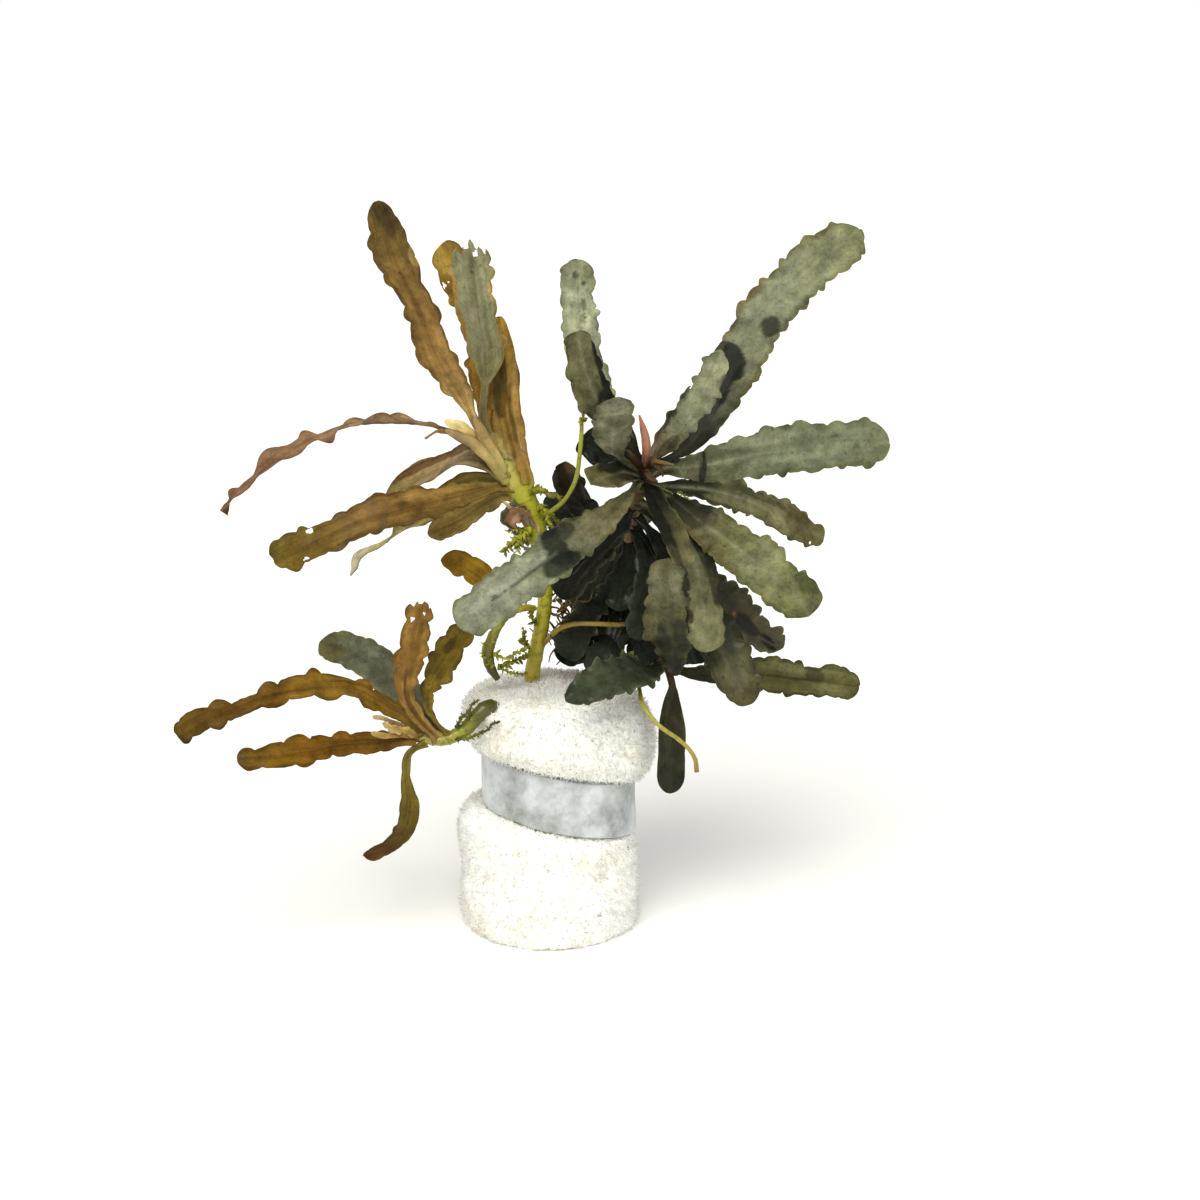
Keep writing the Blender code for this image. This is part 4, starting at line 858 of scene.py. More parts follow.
         ((3.5, 4.6, -0.6), (3.1, 2.8, -1.5), (2.7, 0.8, -2.3), (2.4, -1.4, -2.9)), 1.7, (-0.4, -1, 0.2),
         0.35, "leaf_dark"),

    Leaf("dark_leaf_inner_right", "crown", 10.6,
         ((6.5, 3.5, 3.6), (8.5, 0, 4.8), (10, -3.8, 5), (11.2, -8, 4.6)), 2.22, (0.45, -0.9, 0.2), 0.35,
         "leaf_dark"),

    # Low crown, behind the hanging leaves on the right
    Leaf("low_leaf_up_front", "low", 0.5,
         ((9.1, -8.6, -3.4), (9, -6.2, -6.8), (8.4, -2.8, -9.6), (8.5, 1.6, -11.6), (8.5, 5.2, -12.6)), 2.62,
         (-0.25, -1, 0.1), 0.3, "leaf_green"),
    Leaf("low_leaf_down", "low", 0.9,
         ((9, -11, -2.6), (8.9, -12.8, -4), (8.9, -16.9, -6.4), (8.9, -21.2, -8.2), (8.8, -24.2, -8.8)), 1.87,
         (0.35, -0.95, 0), 0.25, "leaf_dark", 0.2, 0.6),
    Leaf("low_leaf_right", "low", 1.4,
         ((11.4, -9.2, 1.6), (15.4, -9.2, 3.8), (20, -9.4, 5.6), (24, -9.8, 7), (28, -10.2, 8.2),
          (32.4, -10.9, 9)), 2.21, (0.1, -0.85, 0.5), 0.35, "leaf_olive"),
    Leaf("low_leaf_front_left", "low", 2.2,
         ((6.6, -8.6, -3.4), (4.6, -8.8, -8.6), (1.5, -9.8, -13.2), (-1.9, -11.3, -15.8), (-4.3, -12.6, -17)),
         2.45, (-0.2, -0.9, 0.5), 0.3, "leaf_dark"),
    Leaf("low_leaf_back", "low", 3, ((7.4, -5.4, 5), (9.4, -3.4, 8.2), (12, -2.2, 11.4), (15.2, -2.8, 14)),
         2.2, (0.3, 0.1, 1), 0.35, "leaf_dark"),

    # Side shoot that trails out of the plug's left
    Leaf("side_leaf_long", "side", 2.2,
         ((-23.4, -15.6, -8.6), (-25, -14.1, -8.5), (-27.6, -12.5, -9), (-30.5, -11.1, -9.8),
          (-34.8, -10.9, -11.6), (-38.4, -11.4, -13.2), (-42.2, -12.2, -14.8), (-46.4, -13.9, -16.2),
          (-49.5, -15.2, -17), (-52.8, -17.1, -17.4)), 1.69, (-0.2, -0.8, 1), 0.5, "leaf_brown", 0.1, 0.4),
    Leaf("side_leaf_low", "side", 0.3,
         ((-25.4, -17.7, -10.8), (-29.5, -17.8, -12.6), (-32.8, -18.1, -14.6), (-35.9, -18.8, -16.4),
          (-39.1, -19.2, -17.8), (-42.2, -19.6, -18.8), (-45.4, -19.8, -19.4)), 1.59, (0, -0.8, 0.6), 0.35,
         "leaf_brown", 0.1, 0.5),
    Leaf("side_leaf_dark", "side", 3.8,
         ((-21.4, -14.8, -6.8), (-24, -11.8, -3.6), (-27.6, -8.6, -1), (-31.2, -6.4, 1.2), (-35, -5.2, 3.2)),
         2.35, (0, -0.85, 0.55), 0.25, "leaf_dark"),
    Leaf("side_leaf_upright", "side", 3.2,
         ((-22.8, -14.6, -11.4), (-24.2, -12, -12.8), (-24.2, -9.2, -13.8), (-23.5, -6.1, -14.2),
          (-22.8, -3, -14), (-21.9, -0.2, -13.6)), 1.66, (0.45, -0.9, 0), 0.3, "leaf_brown"),
    Leaf("side_leaf_right", "side", 4.9,
         ((-20.4, -15.4, -10.6), (-21.6, -13, -10.9), (-21.2, -10.4, -11), (-19.7, -7.8, -10.6),
          (-18, -5.2, -9.6), (-16.8, -3, -8.6)), 1.7, (0.3, -1, 0.1), 0.3, "leaf_olive", 0.15, 0.6),
    Leaf("side_leaf_hanging", "side", 1.8,
         ((-24, -19.2, -10.6), (-24.3, -22.2, -11.6), (-23.9, -25.2, -12), (-24.5, -28.5, -11.8),
          (-26.8, -31, -11.2), (-29.5, -32, -10.4)), 1.2, (0.5, -1, 0), 0.2, "leaf_olive"),
)
print("Leaves:", len(LEAVES))

# %% [markdown]
# ## What each leaf looks like
# One leaf differs from the next in its colour along the blade, in the length and depth of its margin's
# lobes, in how it is folded along its midrib, and in its stains, holes and tears.

# %% The dress of each leaf
# tones run from stalk to tip. lobe and crimp are a lobe's length and depth in mm, stalk is the stalk's half
# width in mm, and left, right and twist are read evenly from stalk to tip. A stain is (share along, share
# across, length, width, tone, strength). A cut is ("hole", share along, share across, radius) or ("torn",
# share along, depth of its teeth).
# Most stains are real marks, but some on the crown's leaves are painted shade and a painted shadow.
Dress = namedtuple(
    "Dress",
    "tones rim rib lobe crimp cup twist stains damage left right stalk full",
    defaults=("", "", None, None, None, (0.0,), (), (), (1.0,), (1.0,), None, 0),
)
SLOT_DRESS = {
    "leaf_brown": Dress("#A58C54 #8A6C34 #84642E #7C5E2C", "#57401C", "#5A421A", 2.8, 0.5, 0.12, stalk=0.75),
    "leaf_grey": Dress("#8A7848 #86865E #8A9068 #969C78", "#94803C", "#6E6F50", 2.2, 0.5, 0.1, stalk=0.55),
    "leaf_green": Dress("#4C4C38 #74775A #82866A #7C8062", "#5C5A34", "#9A9E80", 1.9, 0.5, 0.12, stalk=0.5),
    "leaf_dark": Dress("#1E2119 #232820 #292F26 #2E3328", "#34341F", "#2C3026", 2.1, 0.45, 0.2, stalk=0.5),
    "leaf_olive": Dress("#5E5228 #5E542A #565028 #4E4822", "#36321A", "#46401C", 2.2, 0.5, 0.14, stalk=0.6),
}
DRESS = {
    "brown_leaf_tall": Dress("#CBB37B #C7A96B #B49254 #9D7A44 #8B6D39 #7B6332 #544823", lobe=2.6, crimp=0.5,
        stains=((0.96, 0.5, 3, 1.4, "#44371C", 0.75), (0.79, 1.1, 1.5, 1.2, "#BB9F5D", 0.8),
                (0.5, -0.7, 7, 0.8, "#624619", 0.5), (0.93, -0.9, 1.4, 0.8, "#87662A", 0.6)),
        left=(0.8, 0.8, 0.82, 0.84, 0.86, 0.9),
        right=(0.85, 0.85, 0.85, 0.85, 0.88, 0.88, 0.9, 0.84, 1.12, 0.86, 0.9), full=0.34),
    "brown_leaf_frayed": Dress("#8A7238 #86764A #848058 #8A8A66 #92926E #90906C", lobe=2.2, crimp=0.6,
        stains=((0.8, -1, 2.4, 0.7, "#B08A48", 0.9), (0.62, -1, 2.2, 0.6, "#8E6C2C", 0.9),
                (0.76, 1, 1.6, 0.7, "#C09A5C", 0.9), (0.58, 0.9, 2.5, 0.6, "#9A7C44", 0.8),
                (0.7, 0.3, 5, 0.35, "#6A6A48", 0.5), (0.6, -0.2, 4, 0.3, "#A4A284", 0.6),
                (0.9, 0.1, 0.8, 0.5, "#5C5C40", 0.6)),
        damage=(("torn", 0.965, 1.1), ("hole", 0.935, 0.3, 0.4)),
        right=(1, 1, 1, 1, 1.1, 1, 0.9, 0.85, 0.8, 0.8), stalk=0.5),
    "brown_leaf_behind": Dress("#927527 #9D792C #A68129 #A8883A", lobe=2.4,
        stains=((0.84, -0.6, 1.2, 0.8, "#83641E", 0.7), (0.95, -0.6, 2, 1, "#AA9045", 0.7)),
        damage=(("hole", 0.845, -0.85, 0.3), ("hole", 0.85, -0.6, 0.18))),
    "brown_leaf_right": Dress("#D2B779 #CEAD69 #AB8E49 #987B41 #B4903F #BF9638",
        stains=((0.62, -0.3, 4.5, 1, "#423A1B", 0.8), (0.35, 0.7, 8, 0.6, "#B8924F", 0.6),
                (0.35, -0.1, 5, 0.3, "#8E6529", 0.7), (0.42, 0.3, 5, 0.25, "#614C1F", 0.7)), lobe=3.6,
        crimp=0.25, full=0.4),
    "brown_leaf_arching": Dress("#BBA07A #A98B68 #9F8160 #947154 #866248", rim="#67482C", lobe=2.8,
        crimp=0.42, left=(0.8,), right=(0.8,)),
    "brown_leaf_folded": Dress("#B8A071 #BCA679 #B09A66 #7A6A38", cup=0.4, lobe=3.2, crimp=0.25, left=(1.8,),
        right=(1.8,), stains=((0.5, 0.75, 11, 0.75, "#674423", 0.85), (0.45, -0.2, 8, 0.16, "#AC9C68", 0.7))),
    "brown_leaf_broad": Dress("#917D42 #876E3A #876934 #846432 #7C6234 #70622D #7A692A", lobe=2.2, crimp=0.5,
        stains=((0.85, 0, 4, 2.4, "#7A5F20", 0.55), (0.5, -0.8, 8, 0.7, "#604A1E", 0.6),
                (0.35, 0.6, 6, 0.6, "#A3833E", 0.6)),
        damage=(("hole", 0.83, 0.84, 0.42), ("hole", 0.875, -0.72, 0.3))),
    "brown_leaf_short": Dress("#BEA464 #B8A05C #AE9450 #968248", lobe=1.9, crimp=0.4, full=0.3),
    "brown_leaf_twisted": Dress("#9A8234 #93802E #A59544 #C8BE80 #E0DCC0", twist=(0, 0, 15, 60, 120),
        left=(1, 1.2, 1.3, 0.5, 0.35), right=(1, 1.2, 1.3, 0.5, 0.35)),
    "brown_leaf_low": Dress("#B28F29 #B18D2B #AC8728 #9D7823", rib="#84661A", lobe=2.6, crimp=0.55,
        rim="#664A0E"),
    "brown_leaf_back": Dress("#91792A #8A7025 #7E6722 #685B1C"),
    # Where a crown leaf's tones start near-black at its stalk and lighten towards the tip, the near-black is
    # painted shade of the crowded middle of the crown, as are wide dark stains over a stalk end.
    "crown_leaf_upper_right": Dress("#1C1B14 #201F16 #322F22 #66664E #7C7E62 #82846A #848668 #808260 #7C7E58",
        rim="#5E5828", crimp=0.5, lobe=1.8,
        # Near-black stains at 0.26 to 0.52 of the length, on and left of the midrib, are painted shadow of the
        # overlying leaf; the wide dark stain at 0.15 is painted shade over the stalk end
        stains=((0.59, 0.5, 1.5, 1.4, "#30321F", 0.98), (0.47, -0.55, 1, 2.2, "#1A1C14", 0.98),
                (0.43, 0, 1.9, 1.5, "#181A12", 0.98), (0.35, 0.02, 3.6, 0.8, "#1A1C14", 0.98),
                (0.26, -0.05, 2.6, 0.5, "#2E3024", 0.9), (0.15, 0, 4.8, 4, "#28251A", 0.92),
                (0.52, -0.95, 7, 0.6, "#5E5636", 0.45), (0.66, -0.9, 3, 0.6, "#6A603A", 0.5),
                (0.42, 0.9, 2.2, 0.6, "#56502E", 0.6))),
    "crown_leaf_over_upper_right": Dress("#9A7A52 #7E704E #94967A #A2A484 #A0A27E #96987A", rim="#6A6848",
        crimp=0.5, lobe=1.7, stains=((0.2, 0.3, 2.5, 0.8, "#3A3628", 0.7),)),
    "crown_leaf_edge_on": Dress("#A0805A #7A603A #34301E #2A281A #4A4428", crimp=0.25),
    "crown_leaf_right": Dress("#4A3C28 #45422F #56573E #6E7258 #737960 #6E755A #71775C #747856", crimp=0.45,
        lobe=1.8,
        stains=((0.275, 0.2, 0.55, 2.2, "#262A20", 0.95), (0.15, -0.9, 3.5, 0.4, "#26281E", 0.8),
                (0.22, -0.2, 1.6, 2.2, "#6C6E54", 0.6), (0.5, -0.6, 5, 0.8, "#8E9274", 0.5),
                (0.8, -0.4, 0.5, 0.4, "#4A4E36", 0.7), (0.88, 0.1, 0.5, 0.4, "#4A4E36", 0.7),
                (0.6, 0.3, 6, 0.4, "#8C9074", 0.5)), left=(1, 1, 0.9, 0.8, 1, 1, 1, 1, 1)),
    "crown_leaf_right_low": Dress("#1E1E16 #201F16 #2A2819 #4E4C34 #7A7854 #84805A #6A643E #6C683E",
        crimp=0.5, lobe=1.8,
        stains=((0.45, 0.55, 4, 0.7, "#84805A", 0.6), (0.6, -0.6, 4, 0.6, "#3E3A24", 0.7),
                (0.8, -0.5, 3, 0.7, "#403A20", 0.6)), damage=(("hole", 0.93, 0.72, 0.2),)),
    "crown_leaf_lower_right": Dress("#1E1F17 #292A1E #5F5D40 #74744C #7E805C #78794E #595B38", crimp=0.55,
        lobe=1.7,
        stains=((0.36, -0.35, 1.6, 1, "#524D36", 0.7), (0.25, 0, 3, 3, "#25271D", 0.7),
                (0.4, 0.85, 5, 0.7, "#5F5536", 0.6), (0.88, -0.7, 1.6, 1, "#424528", 0.8),
                (0.6, 0.8, 2.5, 0.6, "#635B34", 0.6))),
    "crown_leaf_front_short": Dress("#171A13 #1D1F16 #373525 #575539 #6A6642", rib="#303025", crimp=0.2,
        stains=((0.5, 0.62, 9, 0.8, "#1B1E16", 0.95), (0.9, 0.6, 1.5, 0.6, "#44402A", 0.6))),
    "crown_leaf_front_hanging": Dress("#282920 #4E4B3D #6B6952 #737352 #82825E #84845E", crimp=0.4, lobe=1.8,
        stains=((0.5, -0.72, 6, 1, "#302D24", 0.85), (0.8, 0.9, 0.9, 0.5, "#3B3421", 0.9),
                (0.3, 0.5, 4, 0.5, "#6F694B", 0.6), (0.6, 0.1, 8, 0.2, "#848260", 0.5))),
    "crown_leaf_dark_crumpled": Dress("#211E12 #262212 #2A2514 #3A3522 #56513A #5E593C", crimp=0.85, lobe=2,
        cup=0.35, rim="#6A6240",
        stains=((0.71, 0.28, 0.42, 0.4, "#B8762E", 1), (0.71, 0.28, 0.6, 0.6, "#4A381E", 0.4),
                (0.9, 0.1, 1.3, 0.25, "#14150F", 0.95), (0.93, 0.5, 1.3, 0.3, "#181910", 0.9),
                (0.78, 0.2, 2, 0.9, "#1A1A12", 0.8))),
    "crown_leaf_dark_low_right": Dress("#1A1F1A #1E231D #262C24 #3A3E30 #545236 #56522E", crimp=0.45, lobe=2,
        stains=((0.72, 0.1, 5, 0.3, "#66674A", 0.6), (0.62, -0.3, 5, 1, "#39423A", 0.6),
                (0.85, 0, 2.5, 1.2, "#65644A", 0.6))),
    "crown_leaf_front_left": Dress("#86825C #948E62 #928C64 #6E6C50 #6A6E54 #84886C #8E927A #8C9078 #868A6E",
        rib="#565C4A", crimp=0.5, lobe=1.8,
        stains=((0.53, 0.1, 1.5, 2.6, "#20251A", 0.92), (0.46, 0.62, 1.8, 1, "#2E2E22", 0.9),
                (0.55, -0.5, 2.8, 1.3, "#1E231A", 0.9), (0.5, 0.85, 1.5, 0.5, "#20231C", 0.95),
                (0.46, -0.3, 1, 0.8, "#8A8870", 0.7), (0.7, -0.02, 5.5, 0.16, "#4C5240", 0.9),
                (0.62, 0.35, 2.2, 0.8, "#A0A48C", 0.5), (0.85, 0.1, 2.5, 0.9, "#9EA28C", 0.5),
                (0.83, 0.02, 0.5, 0.4, "#50543F", 0.8), (0.36, 0.93, 3, 0.5, "#3A3828", 0.7))),
    "crown_leaf_up_behind": Dress("#262B22 #5A5E46 #8A8E70 #A4A788 #ACB090 #A6AA8A #96987A", rim="#6A6C4A",
        rib="#787C5E", crimp=0.5, lobe=1.8,
        stains=((0.93, -0.17, 0.6, 0.45, "#4E523A", 0.85), (0.9, 0.3, 0.45, 0.4, "#565A40", 0.85),
                (0.81, 0.29, 0.9, 0.45, "#5E6248", 0.75), (0.75, 0.25, 0.7, 0.35, "#5E6248", 0.7),
                (0.95, 0.6, 1, 0.8, "#5E6040", 0.6), (0.7, -0.1, 6, 0.2, "#B0B498", 0.6),
                (0.6, 0.6, 3, 1, "#80846A", 0.6))),
    "crown_leaf_up_front": Dress("#23271F #33362B #56543C #686646 #6A684A #6E6C4A", crimp=0.35, lobe=1.8,
        stains=((0.55, 0.88, 9, 0.6, "#1B1E17", 0.97), (0.2, 0, 4, 3, "#25251B", 0.92),
                (0.44, 0.5, 2.6, 1.5, "#1F2018", 0.9), (0.35, 0.4, 3, 0.4, "#76725A", 0.5))),
    "crown_leaf_short_broad": Dress("#5A5A42 #7A7A5C #8A8A6E #8E8E70 #868670", crimp=0.4, lobe=2.2,
        damage=(("hole", 0.74, 1.02, 0.55),), left=(0.7, 0.6, 0.85, 1, 1), right=(0.7, 0.7, 1, 1.05, 1),
        stains=((0.55, 0.3, 1.2, 0.8, "#8E8E74", 0.5), (0.75, -0.2, 1.6, 1.4, "#626248", 0.5))),
    "crown_leaf_dark_left": Dress("#1A1D17 #1E221B #22261E #262B22 #2C3228"),
    "crown_leaf_olive_left": Dress("#1E1F18 #24251B #3A3826 #66603C #6E6A46", crimp=0.12, rim="#8A8864",
        stains=((0.5, 0.6, 3, 1.2, "#2A281C", 0.8),)),
    "dark_leaf_upper_left": Dress("#171A15 #1A1B14 #1E1D14 #221F17 #33291A",
        stains=((0.95, 0.3, 0.9, 0.8, "#5E4422", 0.8),)),
    "dark_leaf_under_front": Dress("#1A1D18 #1E211B #26261F #2C2B22", rim="#6A6850", crimp=0.7, cup=0.35,
        stains=((0.5, 0.75, 7, 0.25, "#6A624C", 0.8), (0.55, -0.5, 5, 0.2, "#565040", 0.7))),
    "dark_leaf_left": Dress("", rim="#565240", crimp=0.6),
    "dark_leaf_middle": Dress("", rim="#50523E", crimp=0.6),
    "dark_leaf_low_left": Dress("", rim="#4C4E3A", crimp=0.6),
    "low_leaf_up_front": Dress("#33312A #3E3A30 #464434 #525038 #666446 #74745A #747252", rim="#565236",
        crimp=0.5, lobe=1.8, rib="#6A664C",
        stains=((0.87, 0.75, 1.5, 0.5, "#34342A", 0.95), (0.45, -0.3, 3, 0.9, "#33322A", 0.7),
                (0.5, 0.5, 3, 0.8, "#35332B", 0.7), (0.25, 0.3, 3, 1, "#38332B", 0.6)),
        damage=(("hole", 0.83, 1, 0.5),)),
    "low_leaf_down": Dress("#7A5A24 #343423 #30301E #2E301F #282A1A", lobe=6, crimp=0.1, rim="#3E3C22",
        rib="#3E3C26", stains=((0.55, 0.3, 5, 0.4, "#44432C", 0.6),)),
    "low_leaf_right": Dress("#2D2E1A #383920 #4F4F2C #6D6B3F #5C5A30 #757347 #676439", crimp=0.5, lobe=2,
        stains=((0.66, -0.55, 1.8, 1, "#807E54", 0.75), (0.88, -0.55, 1.3, 0.9, "#717147", 0.6),
                (0.55, 0, 7, 0.2, "#2D2E17", 0.7), (0.77, -0.3, 1.4, 1, "#434222", 0.7),
                (0.85, 0.5, 2.5, 0.5, "#7D7B50", 0.6))),
    "low_leaf_front_left": Dress("#252B1F #2C3326 #3C4333 #454C38 #353D2C", crimp=0.5,
        left=(0.8, 1.15, 1.25, 1, 0.75), right=(0.8, 1.15, 1.25, 1, 0.75), lobe=1.5, rim="#5B5F3F",
        rib="#333D2D", stains=((0.5, 0.2, 5, 0.6, "#353F2F", 0.6), (0.75, 0.5, 1.5, 0.8, "#3C412E", 0.6))),
    "side_leaf_long": Dress("#9C7E3D #997830 #937128 #8C6A22 #775618 #664A12 #644D15", lobe=2.9, crimp=0.75,
        rim="#4C3409", full=0.2, stains=((0.25, 0.6, 6, 0.4, "#5A3F0C", 0.6),)),
    "side_leaf_low": Dress("#80642F #7B5A21 #7B5815 #7D5714 #775811 #664F11", lobe=2.6, crimp=0.6,
        rim="#4E360A", full=0.3),
    "side_leaf_dark": Dress("#3F3D2C #4F4E3D #63634D #6B6C55 #6F6E45", rim="#7E7A44", rib="#34362C",
        crimp=0.35, stains=((0.9, -0.4, 2, 0.8, "#6A6434", 0.7),)),
    "side_leaf_upright": Dress("#9C7D4D #9E7D43 #9E783C #9E7637 #A47D3B #937038", crimp=0.6, lobe=2.4,
        left=(0.8, 0.8, 0.85, 1, 1.15, 1.2), right=(0.8, 0.8, 0.85, 1, 1.1, 1.15),
        stains=((0.3, -0.1, 5, 0.3, "#5E441D", 0.8), (0.7, 0.2, 4, 0.5, "#6E5420", 0.6)),
        damage=(("torn", 0.985, 0.8), ("hole", 0.88, -0.5, 0.28), ("hole", 0.93, 0.3, 0.2))),
    "side_leaf_right": Dress("#A18C36 #8D7927 #7C6720 #705D1B #7A6520 #655417", crimp=0.7, lobe=2.2,
        left=(0.7, 0.5, 0.6, 0.9, 1, 1), right=(0.7, 0.5, 0.6, 0.9, 1.05, 1), stalk=0.45,
        stains=((0.5, -0.2, 1, 0.8, "#968227", 0.6), (0.8, -0.2, 1.2, 0.6, "#3F320D", 0.7))),
    "side_leaf_hanging": Dress("#8C832D #887B2F #7E6D27 #6A591F #574011 #633E16", crimp=0.2, cup=0.4,
        left=(0.8, 0.7, 1, 1, 0.6), right=(0.8, 0.7, 1.1, 1, 0.6), stalk=0.5),
}


def dress_of(leaf):
    """The leaf's own dress over the usual one of its kind."""
    usual, own = SLOT_DRESS[leaf.slot], DRESS.get(leaf.node, Dress(""))
    return Dress(*[mine if mine not in ("", None) else plain for mine, plain in zip(own, usual)])


# %% [markdown]
# ## Where a leaf leaves its stem
# A stalk starts inside its stem, on the side that the leaf grows to, so that the two meet without a seam.

# %% The start of a stalk


def root_of(leaf):
    """Where the leaf's stalk leaves its stem's inside, in millimetres."""
    stem = STEMS[leaf.stem]
    points = stations_of(stem.stations)
    share = 1.0 - leaf.below / spans_of(points).sum()
    here, before, after = smooth(points, [share, share - 0.01, min(1.0, share + 0.01)])
    ahead = unit(after - before)
    out = seen(*leaf.stations[0]) - here
    out = unit(out - ahead * out.dot(ahead))
    radius = np.interp(share, np.linspace(0, 1, len(stem.radii)), stem.radii)
    return here + out * radius * 0.55


# %% [markdown]
# ## The shape of a blade
# A point of the blade is given by two lengths: how far it is along the midrib, and how far to the side. The
# blade's half width widens from the stalk and ends in a round tip. The margin's lobes are unequal, so each
# side gets its own row of random lobe lengths, always with the same seed. At a lobe the edge bulges out, and
# every other lobe turns up. Between side veins the blade is slightly quilted, and the midrib lies in a
# shallow groove.

# %% Width, lobes and surface
STALK_THICKNESS = 0.42
LAMINA_THICKNESS = 0.15
EDGE_THICKNESS = 0.05
VEIN_SPACING = 1.4


def spread(values, shares):
    """Evenly spaced values, read at these shares."""
    return np.interp(shares, np.linspace(0, 1, len(values)), values)


class Blade:
    """One leaf's surface: where a point so far along and so far to the side lies."""

    def __init__(self, leaf):
        self.leaf, self.dress = leaf, dress_of(leaf)
        self.points = np.vstack([root_of(leaf)[None], stations_of(leaf.stations)])
        self.length = float(spans_of(self.points).sum())
        self.tip = min(leaf.tip, 1.3 * leaf.half_width / self.length) if leaf.tip < 0.2 else leaf.tip
        self.random = random.Random(leaf.node)
        self.sides = [[self.lobes(self.dress.lobe), self.lobes(self.dress.lobe * 2.7)] for _ in "LR"]
        self.seed = self.random.uniform(0, 50)

    def lobes(self, step):
        """Where the lobes of one margin start, in millimetres along, and how strong each is."""
        starts, strength = [-self.random.uniform(0, step)], []
        while starts[-1] < self.length:
            starts.append(starts[-1] + step * self.random.uniform(0.65, 1.4))
            strength.append(self.random.uniform(0.45, 1.3))
        return np.array(starts), np.array(strength + strength[-1:])

    def frame(self, along):
        """Centre, ahead, side and normal at these lengths along."""
        share = np.clip(along / self.length, 0, 1)
        centre = smooth(self.points, share)
        before, after = [smooth(self.points, np.clip(share + step, 0, 1)) for step in (-0.02, 0.02)]
        ahead = unit(after - before)
        facing = unit(np.array(self.leaf.facing, float))
        side = unit(np.cross(ahead, facing))
        normal = np.cross(side, ahead)
        turn = np.radians(spread(self.dress.twist, share))[:, None]
        return (centre, ahead, side * np.cos(turn) + normal * np.sin(turn),
                normal * np.cos(turn) - side * np.sin(turn))

    def half_width(self, along, right):
        """Half the blade's width with its lobes, on the left or on the right, and how full it is there."""
        leaf, stalk, share = self.leaf, self.dress.stalk, np.clip(along / self.length, 0, 1)
        widening = np.clip((share - leaf.stalk) / ((self.dress.full or leaf.full) - leaf.stalk), 0, 1)
        base = 1.0 + 0.45 * np.clip(1 - share / 0.06, 0, 1)
        width = stalk * base + (leaf.half_width - stalk) * np.sin(widening * math.pi / 2)
        full = np.clip((width - stalk) / (leaf.half_width - stalk), 0, 1)
        width = width * spread(self.dress.right if right else self.dress.left, share)
        (short, strength), (long, swell) = self.waves(along, right)
        ragged = [noise.noise(Vector((a / 0.75, 9.0 * right, self.seed))) for a in along]
        bulge = 0.9 * strength * (np.abs(short) ** 0.7 - 0.66) + 0.55 * swell * long
        bulge = bulge + 0.6 / self.dress.lobe * np.array(ragged)
        width = width + self.dress.crimp * full * bulge
        end = np.clip((share - 1 + self.tip) / self.tip, 0, 0.999)
        return np.maximum(0.12, width * (1 - end**2.3) ** 0.5), full

    def waves(self, along, right):
        """One margin's short wave of lobes and long wave of swells, from -1 to 1, with their strengths."""
        found = []
        for starts, strength in self.sides[int(right)]:
            place = np.interp(along, starts, np.arange(len(starts)))
            nearest = np.clip(place.astype(int), 0, len(strength) - 1)
            found.append((np.sin(math.pi * place), strength[nearest]))
        return found

    def surface(self, along, aside):
        """Points and normals of the blade's middle layer, with its thickness above and below."""
        centre, ahead, side, normal = self.frame(along)
        right = aside > 0
        widths = np.where(right, *[self.half_width(along, flag)[0] for flag in (True, False)])
        full = self.half_width(along, True)[1]
        across = np.clip(np.abs(aside) / widths, 0, 1)
        both = zip(self.waves(along, True), self.waves(along, False))
        short, long = [np.where(right, a[0] * a[1], b[0] * b[1]) for a, b in both]
        height = self.dress.cup * widths * across**1.6 * (1.6 - full)
        rise = 2.5 / self.dress.lobe * short * across**3.4 + 0.9 * long * across**1.8
        height = height + self.leaf.ruffle * full * rise
        quilt = np.array([noise.noise(Vector((a / 1.5, b / 1.0, self.seed))) for a, b in zip(along, aside)])
        height = height + 0.11 * full * quilt * (1 - across**4)
        height = height + 0.012 * full * np.cos(2 * math.pi * (along - np.abs(aside)) / VEIN_SPACING)
        groove = np.exp(-(aside / 0.26) ** 2)
        height = height - 0.07 * full * groove
        share = np.clip(along / self.length, 0, 1)
        blade = np.clip((share - self.leaf.stalk * 0.7) / 0.16, 0, 1)
        blade = blade * blade * (3 - 2 * blade)
        stalk = STALK_THICKNESS * np.sqrt(np.clip(1 - across**2, 0.02, 1))
        lamina = LAMINA_THICKNESS - (LAMINA_THICKNESS - EDGE_THICKNESS) * across
        above = stalk * (1 - blade) + lamina * blade
        below = stalk * (1 - blade) + (lamina + 0.26 * (1 - share) * groove) * blade
        return centre + side * aside[:, None] + normal * height[:, None], normal, above, below, across


# %% [markdown]
# ## From the surface to a closed leaf
# The sheet is a grid of faces with rows set closer at the tip, where the outline turns. Holes and torn tips
# are cut before the sheet gets its thickness: faces inside a hole are left out, and the grid points round it
# slide onto its ragged edge. Then the sheet is doubled, and a rim closes every border, so each leaf is one
# closed body.

# %% Making the mesh
ACROSS = np.sin(np.linspace(-1, 1, 21) * math.pi / 2) * 0.6 + np.linspace(-1, 1, 21) * 0.4
ROW = 0.2
TIP_ROWS = 18


def depth_of_cuts(blade, along, aside):
    """How far each point is from the nearest cut, negative inside it."""
    depth = np.full(len(along), 9.0)
    for kind, place, *sizes in blade.dress.damage:
        start = place * blade.length
        if kind == "hole":
            across, radius = sizes
            middle = across * float(blade.half_width(np.array([start]), across > 0)[0][0])
            turn = np.arctan2(aside - middle, along - start)
            ragged = radius * (1 + 0.22 * np.sin(3 * turn + start) + 0.12 * np.sin(7 * turn))
            depth = np.minimum(depth, np.hypot(along - start, (aside - middle) * 1.15) - ragged)
        else:
            waves = 0.5 * np.sin(aside * 2.3 + 1.0) + 0.35 * np.sin(aside * 5.9) + 0.15 * np.sin(aside * 13)
            depth = np.minimum(depth, (start + sizes[0] * waves - along) * 0.7)
    return depth


